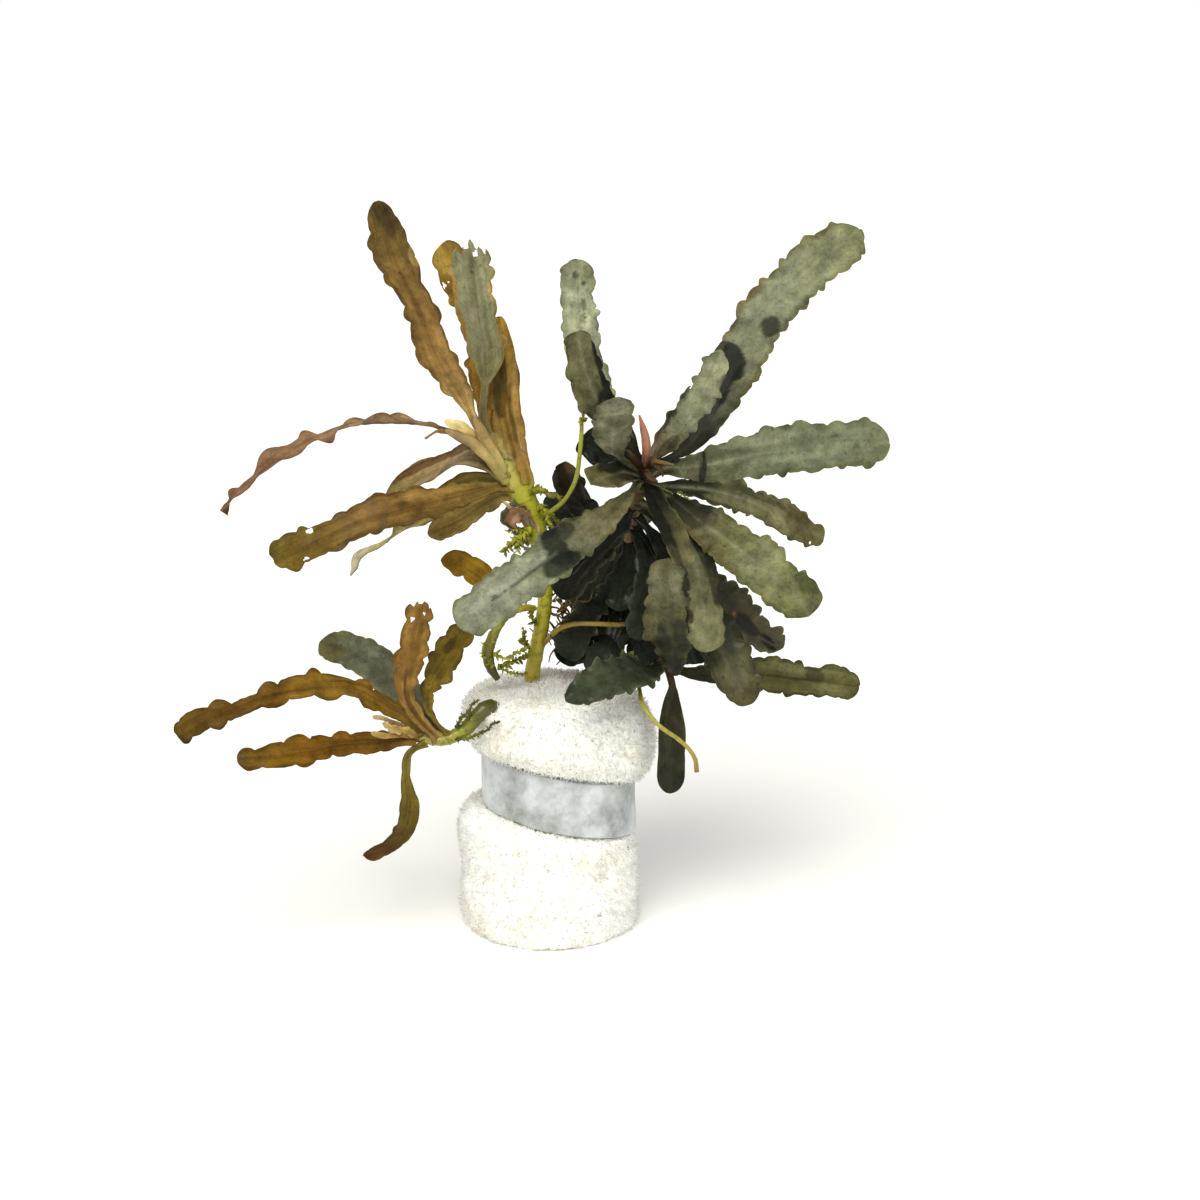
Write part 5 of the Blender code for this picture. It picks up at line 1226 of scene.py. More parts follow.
def leaf_mesh(blade):
    rows = np.linspace(0, 1 - blade.tip, max(12, int(blade.length * (1 - blade.tip) / ROW)))[:-1]
    turns = np.radians(np.linspace(0, 85, TIP_ROWS))
    shares = np.concatenate([rows, 1 - blade.tip + blade.tip * np.sin(turns)])
    count_u, count_v = len(shares), len(ACROSS)
    along = np.repeat(shares * blade.length, count_v)
    v = np.tile(ACROSS, count_u)
    widths = np.where(v > 0, *[blade.half_width(along, flag)[0] for flag in (True, False)])
    aside = v * widths
    grid = np.arange(count_u * count_v).reshape(count_u, count_v)
    quads = np.stack([grid[:-1, :-1], grid[:-1, 1:], grid[1:, 1:], grid[1:, :-1]], -1).reshape(-1, 4)
    if blade.dress.damage:
        inside = depth_of_cuts(blade, along[quads].mean(1), aside[quads].mean(1)) < 0
        quads = quads[~inside]
        used = np.unique(quads)
        for _ in range(4):
            depth = depth_of_cuts(blade, along, aside)
            step = 0.02
            slope_a = (depth_of_cuts(blade, along + step, aside) - depth) / step
            slope_b = (depth_of_cuts(blade, along, aside + step) - depth) / step
            steep = np.maximum(0.05, slope_a**2 + slope_b**2)
            near = np.isin(np.arange(len(depth)), used) & (depth < 0)
            along = np.where(near, along - depth * slope_a / steep, along)
            aside = np.where(near, aside - depth * slope_b / steep, aside)
    middle, normal, above, below, across = blade.surface(along, aside)
    used = np.unique(quads)
    place = np.full(len(along), -1)
    place[used] = np.arange(len(used))
    top, bottom = place[quads], place[quads] + len(used)
    edges = {}
    for face in top:
        for k in range(4):
            edges[(face[k], face[(k + 1) % 4])] = True
    rims = [(b, a, a + len(used), b + len(used)) for a, b in edges if (b, a) not in edges]
    points = np.vstack([(middle + normal * above[:, None])[used], (middle - normal * below[:, None])[used]])
    mesh = bpy.data.meshes.new(blade.leaf.node)
    mesh.from_pydata(points * MM, [], [*top.tolist(), *bottom[:, ::-1].tolist(), *rims])
    mesh.update()
    mesh.shade_smooth()
    mesh.set_sharp_from_angle(angle=math.radians(70))
    both = lambda values: np.concatenate([values[used], values[used]])
    places = [both(along), both(aside), both(across * np.sign(aside))]
    store(mesh, "blade", "FLOAT_VECTOR", np.stack(places, -1))
    colours = leaf_colours(blade, both(along), both(aside), both(across), points)
    store(mesh, "tint", "FLOAT_COLOR", np.hstack([colours, np.ones((len(colours), 1))]))
    return mesh


def store(mesh, name, kind, values):
    """Keeps a value for each point of the mesh, which a material can read."""
    made = mesh.attributes.new(name, kind, "POINT")
    made.data.foreach_set("color" if kind == "FLOAT_COLOR" else "vector", values.astype(np.float32).ravel())


# %% [markdown]
# ## Colour along and across a blade
# The large changes of colour, from stalk to tip, towards the rim, on the midrib and in the stains, are
# painted on the points of the mesh. So is some painted light and shade: a painted highlight on each lobe
# that turns up, painted shade in the dip beside it, random patches of painted soft highlight and shade,
# and on some crown leaves a painted shadow and painted shade near the stalk. What is finer than the
# points, such as veins and pores, comes from the material.

# %% Painting the points


def step_between(low, high, values):
    t = np.clip((values - low) / (high - low), 0, 1)
    return t * t * (3 - 2 * t)


def leaf_colours(blade, along, aside, across, points):
    dress = blade.dress
    tones = np.array([tone(code)[:3] for code in dress.tones.split()])
    wobble = np.array([noise.noise(Vector(p) / 2.2) for p in points])
    share = np.clip(along / blade.length + 0.05 * wobble, 0, 1)
    colours = np.stack([spread(tones[:, k], share) for k in range(3)], -1)

    def blend(amount, code):
        target = np.array(tone(code)[:3])
        return colours + (target - colours) * np.clip(amount, 0, 1)[:, None]

    colours = blend(0.55 * step_between(0.72, 1.0, across + 0.12 * wobble), dress.rim)
    colours = blend(0.55 * np.exp(-(aside / 0.28) ** 2) * (1 - 0.6 * share), dress.rib)
    # Painted light and shade: a lobe that turns up is painted lighter as a highlight, and the dip beside it
    # darker as shade; random patches a millimetre or two wide are painted lighter and darker as soft
    # highlights and shade
    lobes = [wave * strength for wave, strength in (blade.waves(along, right)[0] for right in (False, True))]
    painted_lobe_light = np.where(aside > 0, lobes[1], lobes[0]) * across**2.5
    swell = np.array([noise.noise(Vector(p) / 1.5 + Vector((7, 3, 5))) for p in points])
    colours = colours * (1 + 0.24 * painted_lobe_light + 0.3 * swell)[:, None]
    # Stains are real marks, and on some crown leaves painted shade and a painted shadow
    for place, side, length, width, code, strength in dress.stains:
        half = float(blade.half_width(np.array([place * blade.length]), side > 0)[0][0])
        far = np.hypot((along - place * blade.length) / length, (aside - side * half) / width)
        colours = blend(strength * step_between(1.12, 0.88, far + 0.3 * wobble), code)
    return np.clip(colours, 0, 1)


# %% [markdown]
# ## Leaf finishes
# The blades are leathery and wet. Green-grey ones carry a fine bloom that scatters light, so they hardly
# shine. Dark ones are smooth and mirror the lamp in small glints, and brown ones shine a little. Brown
# blades are thin, and their veins show as streaks along the blade. All have faint side veins that run
# forward from the midrib, 1.4 mm apart, clouds of colour 2 to 3 mm wide, and grains and dark pores of a few
# tenths of a millimetre.

# %% Leaf materials


def leaf_finish(name, roughness, gloss, cloudy, side_veins, streaks, specks):
    """Leathery leaf skin over the tints on the mesh, with veins, clouds and fine dark specks."""
    finish, tree, shader = new_finish(name, Coat_Weight=gloss, Coat_Roughness=0.12, IOR=1.45,
                                      Specular_IOR_Level=0.08)
    place = add(tree, "ShaderNodeTexCoord")["Object"]
    tint = add(tree, "ShaderNodeAttribute", attribute_name="tint")["Color"]
    blade = add(tree, "ShaderNodeAttribute", attribute_name="blade")["Vector"]
    along, aside, across = add(tree, "ShaderNodeSeparateXYZ", (blade,))

    clouds = add(tree, "ShaderNodeTexNoise",
                 {"Vector": place, "Scale": 420.0, "Detail": 6.0, "Roughness": 0.65})
    shade = add(tree, "ShaderNodeMapRange", (clouds["Fac"], 0.3, 0.7, 1 - cloudy, 1 + cloudy))[0]
    base = add(tree, VECTORS, {0: tint, "Scale": shade}, "SCALE")[0]
    # Side veins lean forward from the midrib, and streaks run along the blade
    off = add(tree, MATH, (aside,), "ABSOLUTE")[0]
    lean = add(tree, MATH, (off, -1.0, along), "MULTIPLY_ADD")[0]
    wave = add(tree, MATH, (lean, math.pi / VEIN_SPACING), "MULTIPLY")[0]
    wave = add(tree, MATH, (wave,), "COSINE")[0]
    wave = add(tree, MATH, (wave,), "ABSOLUTE")[0]
    vein = add(tree, MATH, (wave, 18.0), "POWER")[0]
    slow = add(tree, MATH, (along, 0.07), "MULTIPLY")[0]
    quick = add(tree, MATH, (across, 5.0), "MULTIPLY")[0]
    stretched = add(tree, "ShaderNodeCombineXYZ", (slow, quick, off))[0]
    streak = add(tree, "ShaderNodeTexNoise", {"Vector": stretched, "Scale": 1.0, "Detail": 3.0})["Fac"]
    grains = add(tree, "ShaderNodeTexNoise",
                 {"Vector": place, "Scale": 2600.0, "Detail": 3.0, "Roughness": 0.7})
    dots = add(tree, "ShaderNodeTexVoronoi", {"Vector": place, "Scale": 650.0}, feature="F1")
    apart = add(tree, "ShaderNodeSeparateColor", (dots["Color"],))
    reach = add(tree, MATH, (apart["Red"], 0.42, -0.26), "MULTIPLY_ADD")[0]
    dot = add(tree, MATH, (dots["Distance"], reach), "LESS_THAN")[0]
    for amount, code in (
            (add(tree, MATH, (vein, side_veins), "MULTIPLY")[0], "#8C8468"),
            (add(tree, "ShaderNodeMapRange", (streak, 0.42, 0.66, 0.0, streaks))[0], "#A0907A"),
            (add(tree, "ShaderNodeMapRange", (grains["Fac"], 0.52, 0.72, 0.0, specks))[0], "#7A7660"),
            (add(tree, MATH, (dot, specks), "MULTIPLY")[0], "#6E6A58")):
        base = add(tree, "ShaderNodeMix", {"Factor": amount, "A": base, "B": paint(code)}, data_type="RGBA",
                   blend_type="MULTIPLY")[2]
    tree.links.new(base, shader.inputs["Base Color"])
    rough = add(tree, "ShaderNodeMapRange", (clouds["Fac"], 0.35, 0.65, roughness - 0.1, roughness + 0.12))[0]
    tree.links.new(rough, shader.inputs["Roughness"])
    relief = add(tree, MATH, (vein, -0.5), "MULTIPLY")[0]
    relief = add(tree, MATH, (grains["Fac"], 0.4, relief), "MULTIPLY_ADD")[0]
    relief = add(tree, MATH, (streak, 0.8, relief), "MULTIPLY_ADD")[0]
    bump = add(tree, "ShaderNodeBump", {"Strength": 0.4, "Distance": 0.0001, "Height": relief})
    tree.links.new(bump["Normal"], shader.inputs["Normal"])
    return finish


LEAF_FINISHES = {
    "leaf_brown": leaf_finish("thin_brown_leaf_skin", 0.5, 0.02, 0.4, 0.1, 0.5, 0.4),
    "sheath": leaf_finish("papery_sheath_skin", 0.5, 0.02, 0.3, 0.0, 0.2, 0.3),
    "leaf_grey": leaf_finish("fading_grey_leaf_skin", 0.5, 0.08, 0.2, 0.12, 0.5, 0.5),
    "leaf_green": leaf_finish("bloomy_green_leaf_skin", 0.5, 0.04, 0.5, 0.05, 0.25, 0.5),
    "leaf_dark": leaf_finish("wet_dark_leaf_skin", 0.36, 0.14, 0.4, 0.1, 0.3, 0.4),
    "leaf_olive": leaf_finish("olive_leaf_skin", 0.45, 0.05, 0.3, 0.1, 0.5, 0.5),
}
total = 0
for leaf in LEAVES:
    mesh = leaf_mesh(Blade(leaf))
    link_piece("blade_" + leaf.node, mesh, LEAF_FINISHES[leaf.slot], [leaf.node])
    total += count(mesh)
print("Leaves:", total, "triangles")

# %% [markdown]
# ## Sheaths and buds
# While a leaf is young, a small papery sheath wraps it. The sheath stays at the foot of the stalk, dries and
# curls. They are made like blades, only short and strongly cupped, and they stand for no node of their own.

# %% Sheaths, buds and stubs
SHEATHS = (
    Leaf("sheath_cream", "brown_shoot", 0.6, ((-16, 20.4, -2.6), (-17.6, 21.4, -3.2), (-19.4, 22.4, -3.6)),
         0.95, (0, -0.9, 0.6), 0.1, "leaf_brown", 0.1, 0.6, 0.4),
    Leaf("sheath_spur", "brown_shoot", 0.8, ((-17, 20.2, -2.4), (-20.2, 21.1, -4.8), (-21.9, 20.2, -5.4)),
         0.3, (0, -0.9, 0.6), 0, "leaf_brown"),
    Leaf("sheath_middle", "brown_shoot", 1.6, ((-12.6, 18.4, -2.4), (-13.1, 19.6, -2.8), (-13.5, 20.9, -2.6)),
         0.85, (0, -1, 0.2), 0.1, "leaf_brown", 0.1, 0.5, 0.6),
    Leaf("wrap_upper", "brown_shoot", 2.6,
         ((-12, 16, -2.6), (-13.3, 18.2, -3), (-14.6, 20.6, -3.2), (-15.8, 22.8, -3.4)), 0.72,
         (-0.1, -1, 0.2), 0.05, "leaf_brown", 0.05, 0.4, 0.3),
    Leaf("wrap_lower", "brown_shoot", 3.6,
         ((-12, 15.4, -2.6), (-13.8, 17.6, -3.2), (-16.2, 19.8, -3.6), (-19.4, 21.3, -4.4)), 0.7,
         (-0.1, -1, 0.4), 0.05, "leaf_brown", 0.05, 0.4, 0.4),
    Leaf("sheath_right", "brown_shoot", 6, ((-8.9, 14.6, -1.4), (-9.3, 16.6, -1.8), (-10.3, 18.9, -1.4)),
         0.85, (0.3, -1, 0), 0.15, "leaf_brown", 0.05, 0.45, 0.6),
    Leaf("bud_outer", "brown_shoot", 10.4,
         ((-9.6, 11.7, -1.6), (-10.9, 11.6, -2.2), (-11.7, 10.2, -2.6), (-11, 8.9, -2.4), (-9.8, 8.4, -2)),
         0.85, (0.1, -0.5, 0.8), 0.15, "leaf_olive", 0.1, 0.5, 0.3),
    Leaf("bud_inner", "brown_shoot", 10.8,
         ((-9.4, 10.9, -2.2), (-10.4, 10.7, -2.8), (-11, 9.6, -3), (-10.2, 8.8, -2.8)), 0.9,
         (-0.2, -0.8, -0.4), 0.2, "leaf_brown", 0.1, 0.5, 0.4),
    Leaf("bud_whisker", "brown_shoot", 10.2, ((-9.6, 11.2, -2.2), (-11.2, 11.6, -2.8), (-12.1, 12.2, -3)),
         0.22, (0, -1, 0.3), 0, "leaf_brown"),
    Leaf("sheath_crown_right", "crown", 1.6, ((6.6, 17, -3.8), (7.6, 16.2, -5), (7.9, 15.4, -5.2)), 0.4,
         (0.3, -1, 0.2), 0.1, "leaf_brown", 0.1, 0.5, 0.5),
    Leaf("stub_dark_left", "crown", 1, ((4.8, 17, -3.6), (4.1, 17.8, -4.4), (3.5, 18.7, -4.6)), 0.5,
         (-0.2, -1, 0.2), 0.1, "leaf_brown", 0.1, 0.5, 0.5),
    Leaf("stub_dark_low", "crown", 2.2, ((5.8, 16, -4.2), (6.4, 15.2, -5), (7.2, 14.8, -5.4)), 0.45,
         (0.2, -1, 0.2), 0.1, "leaf_brown", 0.1, 0.5, 0.5),
    Leaf("stub_tan", "crown", 1.2, ((6.6, 17.3, -4), (7.8, 17.2, -4.8), (9.2, 16.9, -5.2)), 0.24,
         (0, -1, 0.3), 0.1, "leaf_brown", 0.1, 0.5, 0.5),
    Leaf("sheath_side_upper", "side", 1.2,
         ((-25.2, -15.6, -10.4), (-27.2, -14.8, -11.4), (-28.4, -14.6, -11.8)), 0.28, (0, -1, 0.4), 0.1,
         "leaf_brown"),
    Leaf("sheath_side_cream", "side", 0.8,
         ((-25, -16.2, -11.4), (-26.4, -15.8, -12.2), (-27.2, -15.4, -12.4)), 0.6, (0, -1, 0.4), 0.15,
         "leaf_brown", 0.1, 0.5, 0.5),
    Leaf("sheath_side_lower", "side", 0.5, ((-25.2, -16.8, -11.6), (-27, -17, -12.6), (-28.6, -16.6, -13.2)),
         0.34, (0, -1, 0.4), 0.1, "leaf_brown"),
)
# The crown's middle is crowded with old dark leaves, which fill the gaps between the larger ones
OLD_LEAVES = (
    Leaf("old_leaf_a", "crown", 7.4, ((3.6, 8.6, 3.4), (1.4, 4.6, 4.4), (-0.6, 0.6, 4.8), (-2.2, -3.6, 4.6)),
         2.5, (-0.4, -0.9, 0.3), 0.4, "leaf_dark"),
    Leaf("old_leaf_b", "crown", 8.6, ((4.2, 6.6, 2.6), (3.2, 2.4, 3.4), (2.2, -1.8, 3.6), (1.4, -6, 3.2)),
         2.3, (-0.2, -1, 0.2), 0.4, "leaf_dark"),
    Leaf("old_leaf_c", "crown", 12, ((2.6, 3, 1.2), (0, -0.8, 1.2), (-2.4, -4.6, 0.8), (-4.2, -8.2, 0)), 2.3,
         (-0.4, -0.9, 0.3), 0.4, "leaf_dark"),
    Leaf("old_leaf_d", "crown", 9.2, ((6, 5.6, 1.4), (6.2, 1, 1.6), (5.8, -3.6, 1.4), (5, -8.6, 0.8)), 2.2,
         (0.2, -1, 0.2), 0.4, "leaf_dark"),
    Leaf("old_leaf_e", "crown", 15.5,
         ((2.6, -2.4, 0), (1.6, -4.6, -1.2), (0.2, -6.8, -2), (-1.4, -8.8, -2.6)), 1.8, (-0.2, -1, 0.3), 0.4,
         "leaf_dark"),
    Leaf("old_leaf_g", "crown", 3.4, ((3.4, 17.2, 2), (1.6, 18.2, 2.8), (-0.2, 19.6, 3.2), (-1.5, 21.2, 3.2)),
         2.5, (-0.3, -1, 0.2), 0.3, "leaf_dark"),
    Leaf("old_leaf_f", "crown", 10.4, ((7.6, 4.4, 1.6), (9.6, 0.2, 2.2), (11.2, -4, 2.4), (12.2, -8, 2)), 2.3,
         (0.3, -1, 0.2), 0.4, "leaf_dark"),
)
DRESS.update({
    "old_leaf_a": Dress("", rim="#605E48", cup=0.4, crimp=0.7),
    "old_leaf_b": Dress("#1A1F1A #1C221D #202720", rim="#4E523E", crimp=0.7),
    "old_leaf_c": Dress("#1A1F1A #222A22 #1C231D", rim="#5A5C46", crimp=0.7),
    "sheath_cream": Dress("#A8905A #D0B468 #EAD488 #F0E2A8", rim="#E6D084", rib="#C8A860", cup=0.5,
        left=(0.5, 0.4, 0.6, 1, 1), right=(0.5, 0.4, 0.6, 1, 1)),
    "sheath_spur": Dress("#8A6A44 #9A7850 #A8845A", rim="#7A5A34", stalk=0.25),
    "wrap_upper": Dress("#B8B458 #B8A468 #AC9058 #A88A58", rim="#8E7440", rib="#B8A070", crimp=0.12, cup=-0.6),
    "wrap_lower": Dress("#B0AC50 #B09C5E #A68E60 #A48A66", rim="#7A6238", rib="#B4A074", crimp=0.12, cup=-0.6),
    "sheath_middle": Dress("#B0A860 #A89458 #94804A", rim="#8A7440", cup=0.4),
    "sheath_right": Dress("#BCC24C #B4964A #A27C40 #94744A", rim="#8A6430", cup=0.5),
    "bud_outer": Dress("#8A8440 #6E7048 #4E5238 #3E4230", rim="#B0A890", rib="#4A4A34", cup=0.7, lobe=0.9,
        crimp=0.3),
    "bud_inner": Dress("#D8BC98 #C09470 #A87C5C #94684A", rim="#7E5A40", rib="#E0C8A8", cup=0.6, lobe=0.7,
        crimp=0.3),
    "bud_whisker": Dress("#D8B080 #E0B888 #E8C8A0", rim="#D0A070", stalk=0.15),
    "sheath_crown_right": Dress("#2A2018 #362A1E #4E3E2C", rim="#2A1E16", cup=0.4, crimp=0.06, stalk=0.3),
    "stub_dark_left": Dress("#2A2018 #3A2A1E #4C3828", rim="#2A1E16", cup=0.3, crimp=0.06, stalk=0.3),
    "stub_dark_low": Dress("#2A2018 #3E2C1E #553E2A", rim="#2A1E16", cup=0.3, crimp=0.06, stalk=0.3),
    "stub_tan": Dress("#5A4228 #8A6C44 #A08058", rim="#6A5234", cup=-0.3, crimp=0.06, stalk=0.16),
    "sheath_side_upper": Dress("#8A7038 #A88C5C #C4AC84", rim="#8E7448", crimp=0.15, stalk=0.2),
    "sheath_side_cream": Dress("#9A8040 #C8AA60 #DCC48C", rim="#B09250", cup=0.5, lobe=1, stalk=0.3),
    "sheath_side_lower": Dress("#8A6E34 #A88A4C #C0A468", rim="#8E7240", crimp=0.15, stalk=0.25),
})


def merge(name, meshes):
    """One mesh from several."""
    bm = bmesh.new()
    for mesh in meshes:
        bm.from_mesh(mesh)
    merged = bpy.data.meshes.new(name)
    bm.to_mesh(merged)
    bm.free()
    merged.shade_smooth()
    return merged


def seat(name, meshes, finish):
    """Links one merged piece that stands for no node of its own."""
    return link_piece(name, merge(name, meshes), finish, [])


for place, chosen in (("brown_shoot", SHEATHS[:9]), ("crown", SHEATHS[9:13]), ("side", SHEATHS[13:])):
    meshes = [leaf_mesh(Blade(leaf)) for leaf in chosen]
    seat("sheaths_" + place, meshes, LEAF_FINISHES["sheath"])
seat("old_leaves", [leaf_mesh(Blade(leaf)) for leaf in OLD_LEAVES], LEAF_FINISHES["leaf_dark"])
print("Sheaths:", len(SHEATHS), "old leaves:", len(OLD_LEAVES))

# %% [markdown]
# ## Moss
# Moss from the tank grows on the rhizomes. A sprig is a thin stem with pointed leaflets set round it in a
# spiral, each turned about 137 degrees from the last, and shorter towards the tip. That is one leaflet
# repeated by a rule, so Geometry Nodes places it along each sprig's path.

# %% The moss tree
Sprig = namedtuple("Sprig", "host stations radius size")
SPRIGS = (
    Sprig("brown_shoot", ((-8.4, 8.4, -1.6), (-9.6, 8.2, -2.6), (-10.9, 7.4, -3), (-12, 6, -3.2)), 0.2, 1),
    Sprig("brown_shoot", ((-9.2, 8.2, -2), (-10.2, 7.4, -3), (-10.4, 6, -3.4)), 0.2, 0.95),
    Sprig("brown_shoot", ((-8.8, 8.4, -1.8), (-10.2, 8.7, -2.4), (-11.6, 8.5, -2.8)), 0.22, 0.8),
    Sprig("brown_shoot", ((-8.8, 13.4, -1.4), (-7, 13.6, -2.2), (-5.4, 12.8, -2.8), (-4.6, 12, -3)), 0.4,
        0.75),
    Sprig("brown_shoot", ((-7.4, 12, -1.2), (-6.6, 10.8, -2), (-6.2, 9.4, -2.2), (-5.6, 8.6, -2.2)), 0.3, 0.7),
    Sprig("brown_shoot", ((-7, 11.2, -1), (-5.8, 10.2, -1.4), (-5, 8.8, -1.6)), 0.25, 0.7),
    Sprig("brown_shoot", ((-12.9, -8.2, -4.6), (-11.2, -8, -4.4), (-9.8, -7.2, -3.6), (-8.6, -6.6, -2)), 0.18,
        0.7),
    Sprig("brown_shoot", ((-13.2, -6.6, -5.6), (-11.8, -7.2, -5.6), (-10.4, -7, -5), (-9.2, -5.8, -3.6)),
        0.18, 0.6),
    Sprig("brown_shoot", ((-8.6, -6, -1.2), (-9.6, -5, -2.2), (-9.8, -3.6, -2.6)), 0.18, 0.75),
    Sprig("brown_shoot", ((-8, -2.8, -1), (-8.9, -1.8, -1.6), (-9.4, -0.4, -1.8)), 0.18, 0.65),
    Sprig("brown_shoot", ((-12.8, -8.6, -4.8), (-10.8, -9.2, -4.6), (-9, -9, -3.8)), 0.16, 0.5),
    Sprig("brown_shoot", ((-10.8, -1.4, -4.6), (-12.6, -3, -5.6), (-13.6, -5.2, -5.9)), 0.2, 0.6),
    Sprig("brown_shoot", ((-13.4, -8.4, -5.6), (-14.4, -7, -5.8), (-14.6, -5.4, -5.4)), 0.18, 0.6),
    Sprig("side", ((-18.4, -17.4, -9.9), (-16.4, -17.2, -10.2), (-14.4, -16.4, -10.4), (-12.6, -15.2, -10.4)),
        0.2, 0.5),
    Sprig("side", ((-17.8, -15.8, -10.2), (-17.2, -14.6, -10.2), (-16.4, -13.8, -9.8)), 0.2, 0.6),
    Sprig("side", ((-16.6, -14.8, -9.9), (-16, -13.2, -9.6), (-15, -12.4, -9.2)), 0.2, 0.5),
    Sprig("crown", ((7.4, 13.9, -3.2), (8.4, 13.7, -4), (9.2, 13.4, -4.6)), 0.12, 0.28),
    Sprig("crown", ((9.8, 13.3, -4.2), (10.8, 12.9, -5), (11.4, 12.6, -5.2)), 0.12, 0.38),
    Sprig("crown", ((3.4, -6.6, 0.4), (3.8, -7.2, -2), (4.8, -7, -3.4)), 0.2, 0.7),
    Sprig("brown_shoot", ((-2.4, 22.2, -3.4), (-2.1, 22.8, -3.6), (-2, 23.3, -3.6)), 0.25, 0.7),
)


def leaflet_mesh():
    """A pointed lens that lies along Z, one unit long, with its foot at the origin."""
    bm = bmesh.new()
    rings = []
    for height, reach in ((0.0, 0.14), (0.3, 0.40), (0.65, 0.32)):
        rings.append([bm.verts.new((reach * math.cos(a), 0.4 * reach * math.sin(a), height))
                      for a in (math.radians(60 * k) for k in range(6))])
    foot, tip = bm.verts.new((0, 0, -0.05)), bm.verts.new((0, 0, 1.0))
    for low, high in zip(rings, rings[1:]):
        for k in range(6):
            bm.faces.new((low[k], low[(k + 1) % 6], high[(k + 1) % 6], high[k]))
    for k in range(6):
        bm.faces.new((foot, rings[0][(k + 1) % 6], rings[0][k]))
        bm.faces.new((rings[-1][k], rings[-1][(k + 1) % 6], tip))
    mesh = bpy.data.meshes.new("leaflet")
    bm.to_mesh(mesh)
    bm.free()
    return mesh


LEAFLET_TURN = 2.4


def moss_tree():
    tree, given = new_tree("moss_sprig", "Moss", Path="Geometry", Leaflet="Object", Spacing="Float",
                           Leaflet_length="Float", Tilt="Float", Seed="Int", Finish="Material")
    place = add(tree, "GeometryNodeInputPosition")[0]
    bends = add(tree, "ShaderNodeTexNoise", {"Vector": place, "Scale": 500.0, "Detail": 1.0})["Color"]
    bend = add(tree, VECTORS, (bends, (0.5, 0.5, 0.5)), "SUBTRACT")[0]
    bend = add(tree, VECTORS, {0: bend, "Scale": 0.0012}, "SCALE")[0]
    fine = add(tree, "GeometryNodeResampleCurve", {"Curve": given["Path"], "Length": given["Spacing"]},
               mode="LENGTH")
    wavy = add(tree, "GeometryNodeSetPosition", {"Geometry": fine[0], "Offset": bend})[0]
    ring = add(tree, "GeometryNodeCurvePrimitiveCircle", {"Resolution": 8, "Radius": 1.0})
    thick = add(tree, "GeometryNodeInputRadius")[0]
    stem = add(tree, "GeometryNodeCurveToMesh", {
        "Curve": wavy, "Profile Curve": ring[0], "Scale": thick, "Fill Caps": True})
    # One leaflet at every point, turned 2.4 radians from the last and tilted away from the sprig's stem
    share = add(tree, "GeometryNodeSplineParameter")["Factor"]
    tangent = add(tree, "GeometryNodeInputTangent")[0]
    ahead = add(tree, "FunctionNodeAlignRotationToVector", {"Vector": tangent}, axis="Z")[0]
    turn = add(tree, MATH, (add(tree, "GeometryNodeInputIndex")[0], LEAFLET_TURN), "MULTIPLY")[0]
    spin = add(tree, "FunctionNodeAxisAngleToRotation", ((0, 0, 1), turn))[0]
    spun = add(tree, "FunctionNodeRotateRotation", {"Rotation": ahead, "Rotate By": spin},
               rotation_space="LOCAL")[0]
    seed = add(tree, MATH, (given["Seed"], 1), "ADD")[0]
    lean = add(tree, "FunctionNodeRandomValue", {2: 0.6, 3: 1.3, "Seed": seed}, data_type="FLOAT")[1]
    lean = add(tree, MATH, (given["Tilt"], lean), "MULTIPLY")[0]
    nod = add(tree, "FunctionNodeAxisAngleToRotation", ((1, 0, 0), lean))[0]
    tilted = add(tree, "FunctionNodeRotateRotation", {"Rotation": spun, "Rotate By": nod},
                 rotation_space="LOCAL")[0]
    taper = add(tree, MATH, (share, 0.45), "MULTIPLY")[0]
    taper = add(tree, MATH, (1.1, taper), "SUBTRACT")[0]
    seed = add(tree, MATH, (given["Seed"], 2), "ADD")[0]
    size = add(tree, "FunctionNodeRandomValue", {2: 0.7, 3: 1.25, "Seed": seed}, data_type="FLOAT")[1]
    size = add(tree, MATH, (given["Leaflet length"], size), "MULTIPLY")[0]
    size = add(tree, MATH, (size, taper), "MULTIPLY")[0]
    leaflet = add(tree, "GeometryNodeObjectInfo", {"Object": given["Leaflet"]})["Geometry"]
    grown = add(tree, "GeometryNodeInstanceOnPoints",
                {"Points": wavy, "Instance": leaflet, "Rotation": tilted, "Scale": size})
    both = add(tree, "GeometryNodeJoinGeometry", (stem[0],))
    tree.links.new(grown[0], tree.nodes[-1].inputs[0])
    return end_tree(tree, both[0], given["Finish"])


# %% [markdown]
# ## Moss finish
# Moss leaflets are one cell thick, so light passes and they look bright yellow-green where they are fresh and
# olive where they are old. A noise wider than a leaflet mixes the two.

# %% Moss: material and meshes


def moss_skin(name, *tones):
    finish, tree, shader = new_finish(name, Roughness=0.5, Specular_IOR_Level=0.3)
    place = add(tree, "ShaderNodeTexCoord")["Object"]
    age = add(tree, "ShaderNodeTexNoise", {"Vector": place, "Scale": 420.0, "Detail": 3.0})
    tint = add(tree, "ShaderNodeValToRGB", {"Fac": age["Fac"]}, stops=[
        (place, tone(code)) for place, code in zip((0.32, 0.45, 0.56, 0.7), tones)])["Color"]
    tree.links.new(tint, shader.inputs["Base Color"])
    bump = add(tree, "ShaderNodeBump", {"Strength": 0.2, "Distance": 0.00005, "Height": age["Fac"]})
    tree.links.new(bump["Normal"], shader.inputs["Normal"])
    return finish


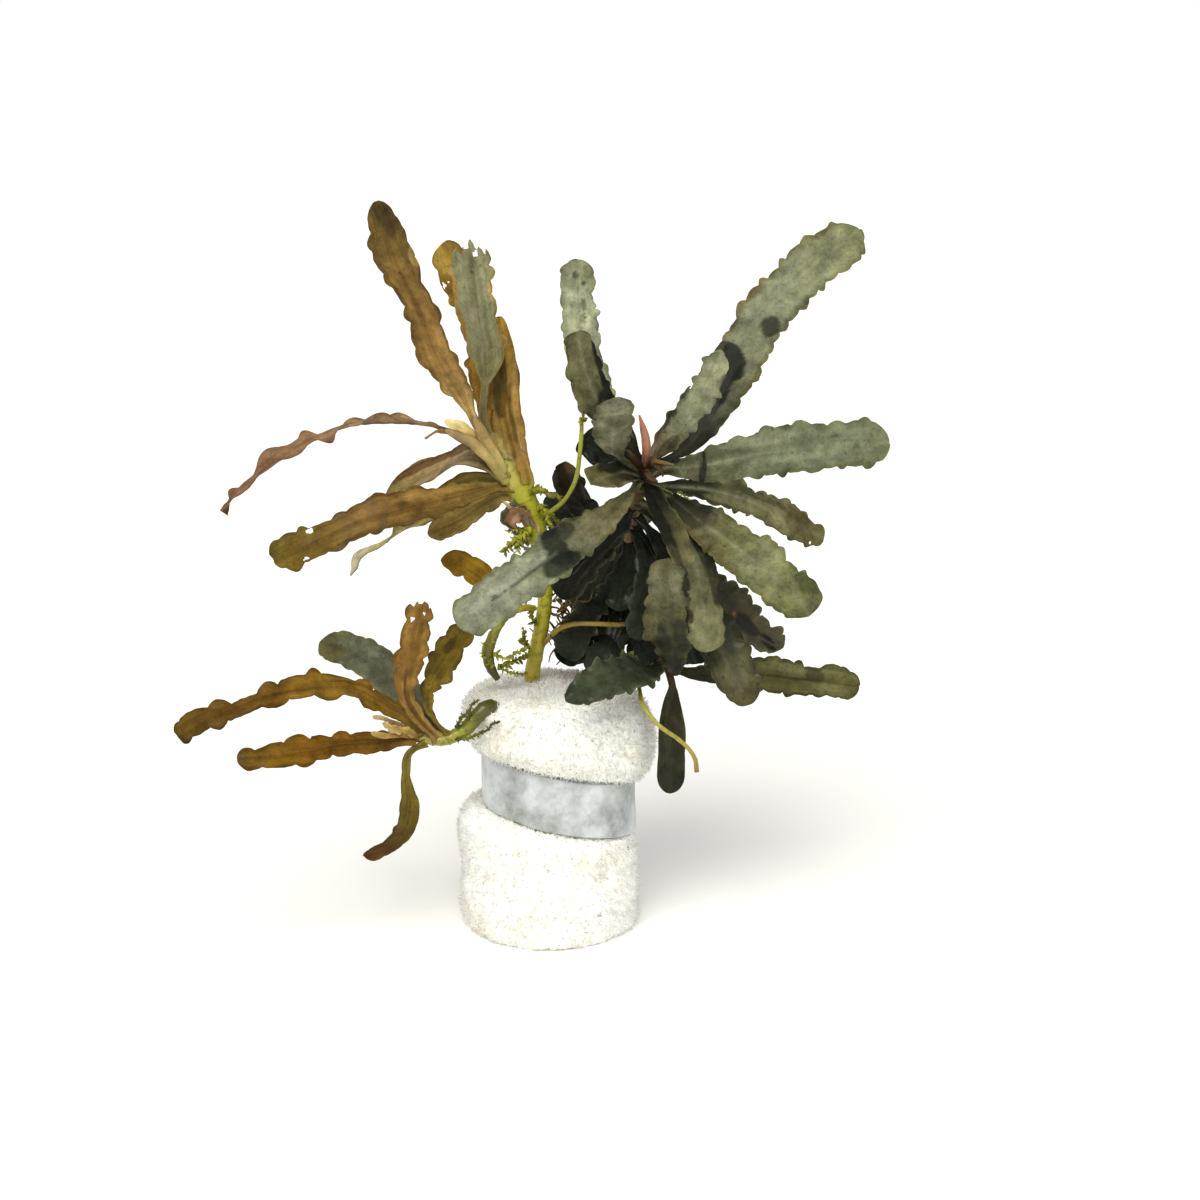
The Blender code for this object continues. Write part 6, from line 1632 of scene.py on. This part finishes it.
FRESH_MOSS = moss_skin("fresh_moss", "#5C561A", "#7E7C20", "#A0A22A", "#C2C046")
OLD_MOSS = moss_skin("old_moss", "#3A3C12", "#4C4E16", "#6A6C1C", "#8E9028")

MOSS = moss_tree()
leaflet = bpy.data.objects.new("leaflet", leaflet_mesh())
bpy.context.scene.collection.objects.link(leaflet)
for host in ("brown_shoot", "side", "crown"):
    grown, moss = [], FRESH_MOSS if host == "brown_shoot" else OLD_MOSS
    for number, sprig in enumerate(SPRIGS):
        if sprig.host == host:
            curve = path_curve("sprig", stations_of(sprig.stations), (sprig.radius, sprig.radius * 0.6))
            grown.append(grow("sprig", curve, MOSS, Leaflet=leaflet, Spacing=0.2 * MM,
                              Leaflet_length=1.25 * sprig.size * MM, Tilt=1.0, Seed=number, Finish=moss))
    piece = seat("moss_" + host, grown, moss)
    print(piece.name, count(piece.data), "triangles")
bpy.data.objects.remove(leaflet)

# %% [markdown]
# ## Root tangle
# Old roots and dead moss fill the corner between the two stems, just above the foam: a brown tangle of thin,
# crooked fibres that the bright root passes in front of. Each fibre is a path with random bends.

# %% Fibres
fibre_finish = stem_finish("dead_root_skin", (0, 3, 6), ("#5E4A1E", "#7A5E24", "#8E7434"), marks="#33280F")
chance = random.Random(12)
fibres = []
for number in range(44):
    start = np.array((chance.uniform(-6.8, -2.6), chance.uniform(-6.0, 0.2), chance.uniform(-1.4, 2.4)))
    stations = [tuple(start)]
    heading = np.array([chance.gauss(0, 1), chance.gauss(0, 1), chance.gauss(0, 0.6)])
    for _ in range(4):
        heading = unit(heading + np.array([chance.gauss(0, 0.7), chance.gauss(0, 0.7), chance.gauss(0, 0.4)]))
        start = start + heading * chance.uniform(0.5, 1.1)
        stations.append(tuple(start))
    curve = path_curve("fibre", stations_of(stations), (chance.uniform(0.1, 0.24), 0.12, 0.07))
    fibres.append(grow("fibre", curve, RINGED, Ring_spacing=0.05, Ring_height=0.0, Roughness=0.0001,
                       Finish=fibre_finish))
piece = seat("root_tangle", fibres, fibre_finish)
print("Tangle:", count(piece.data), "triangles")
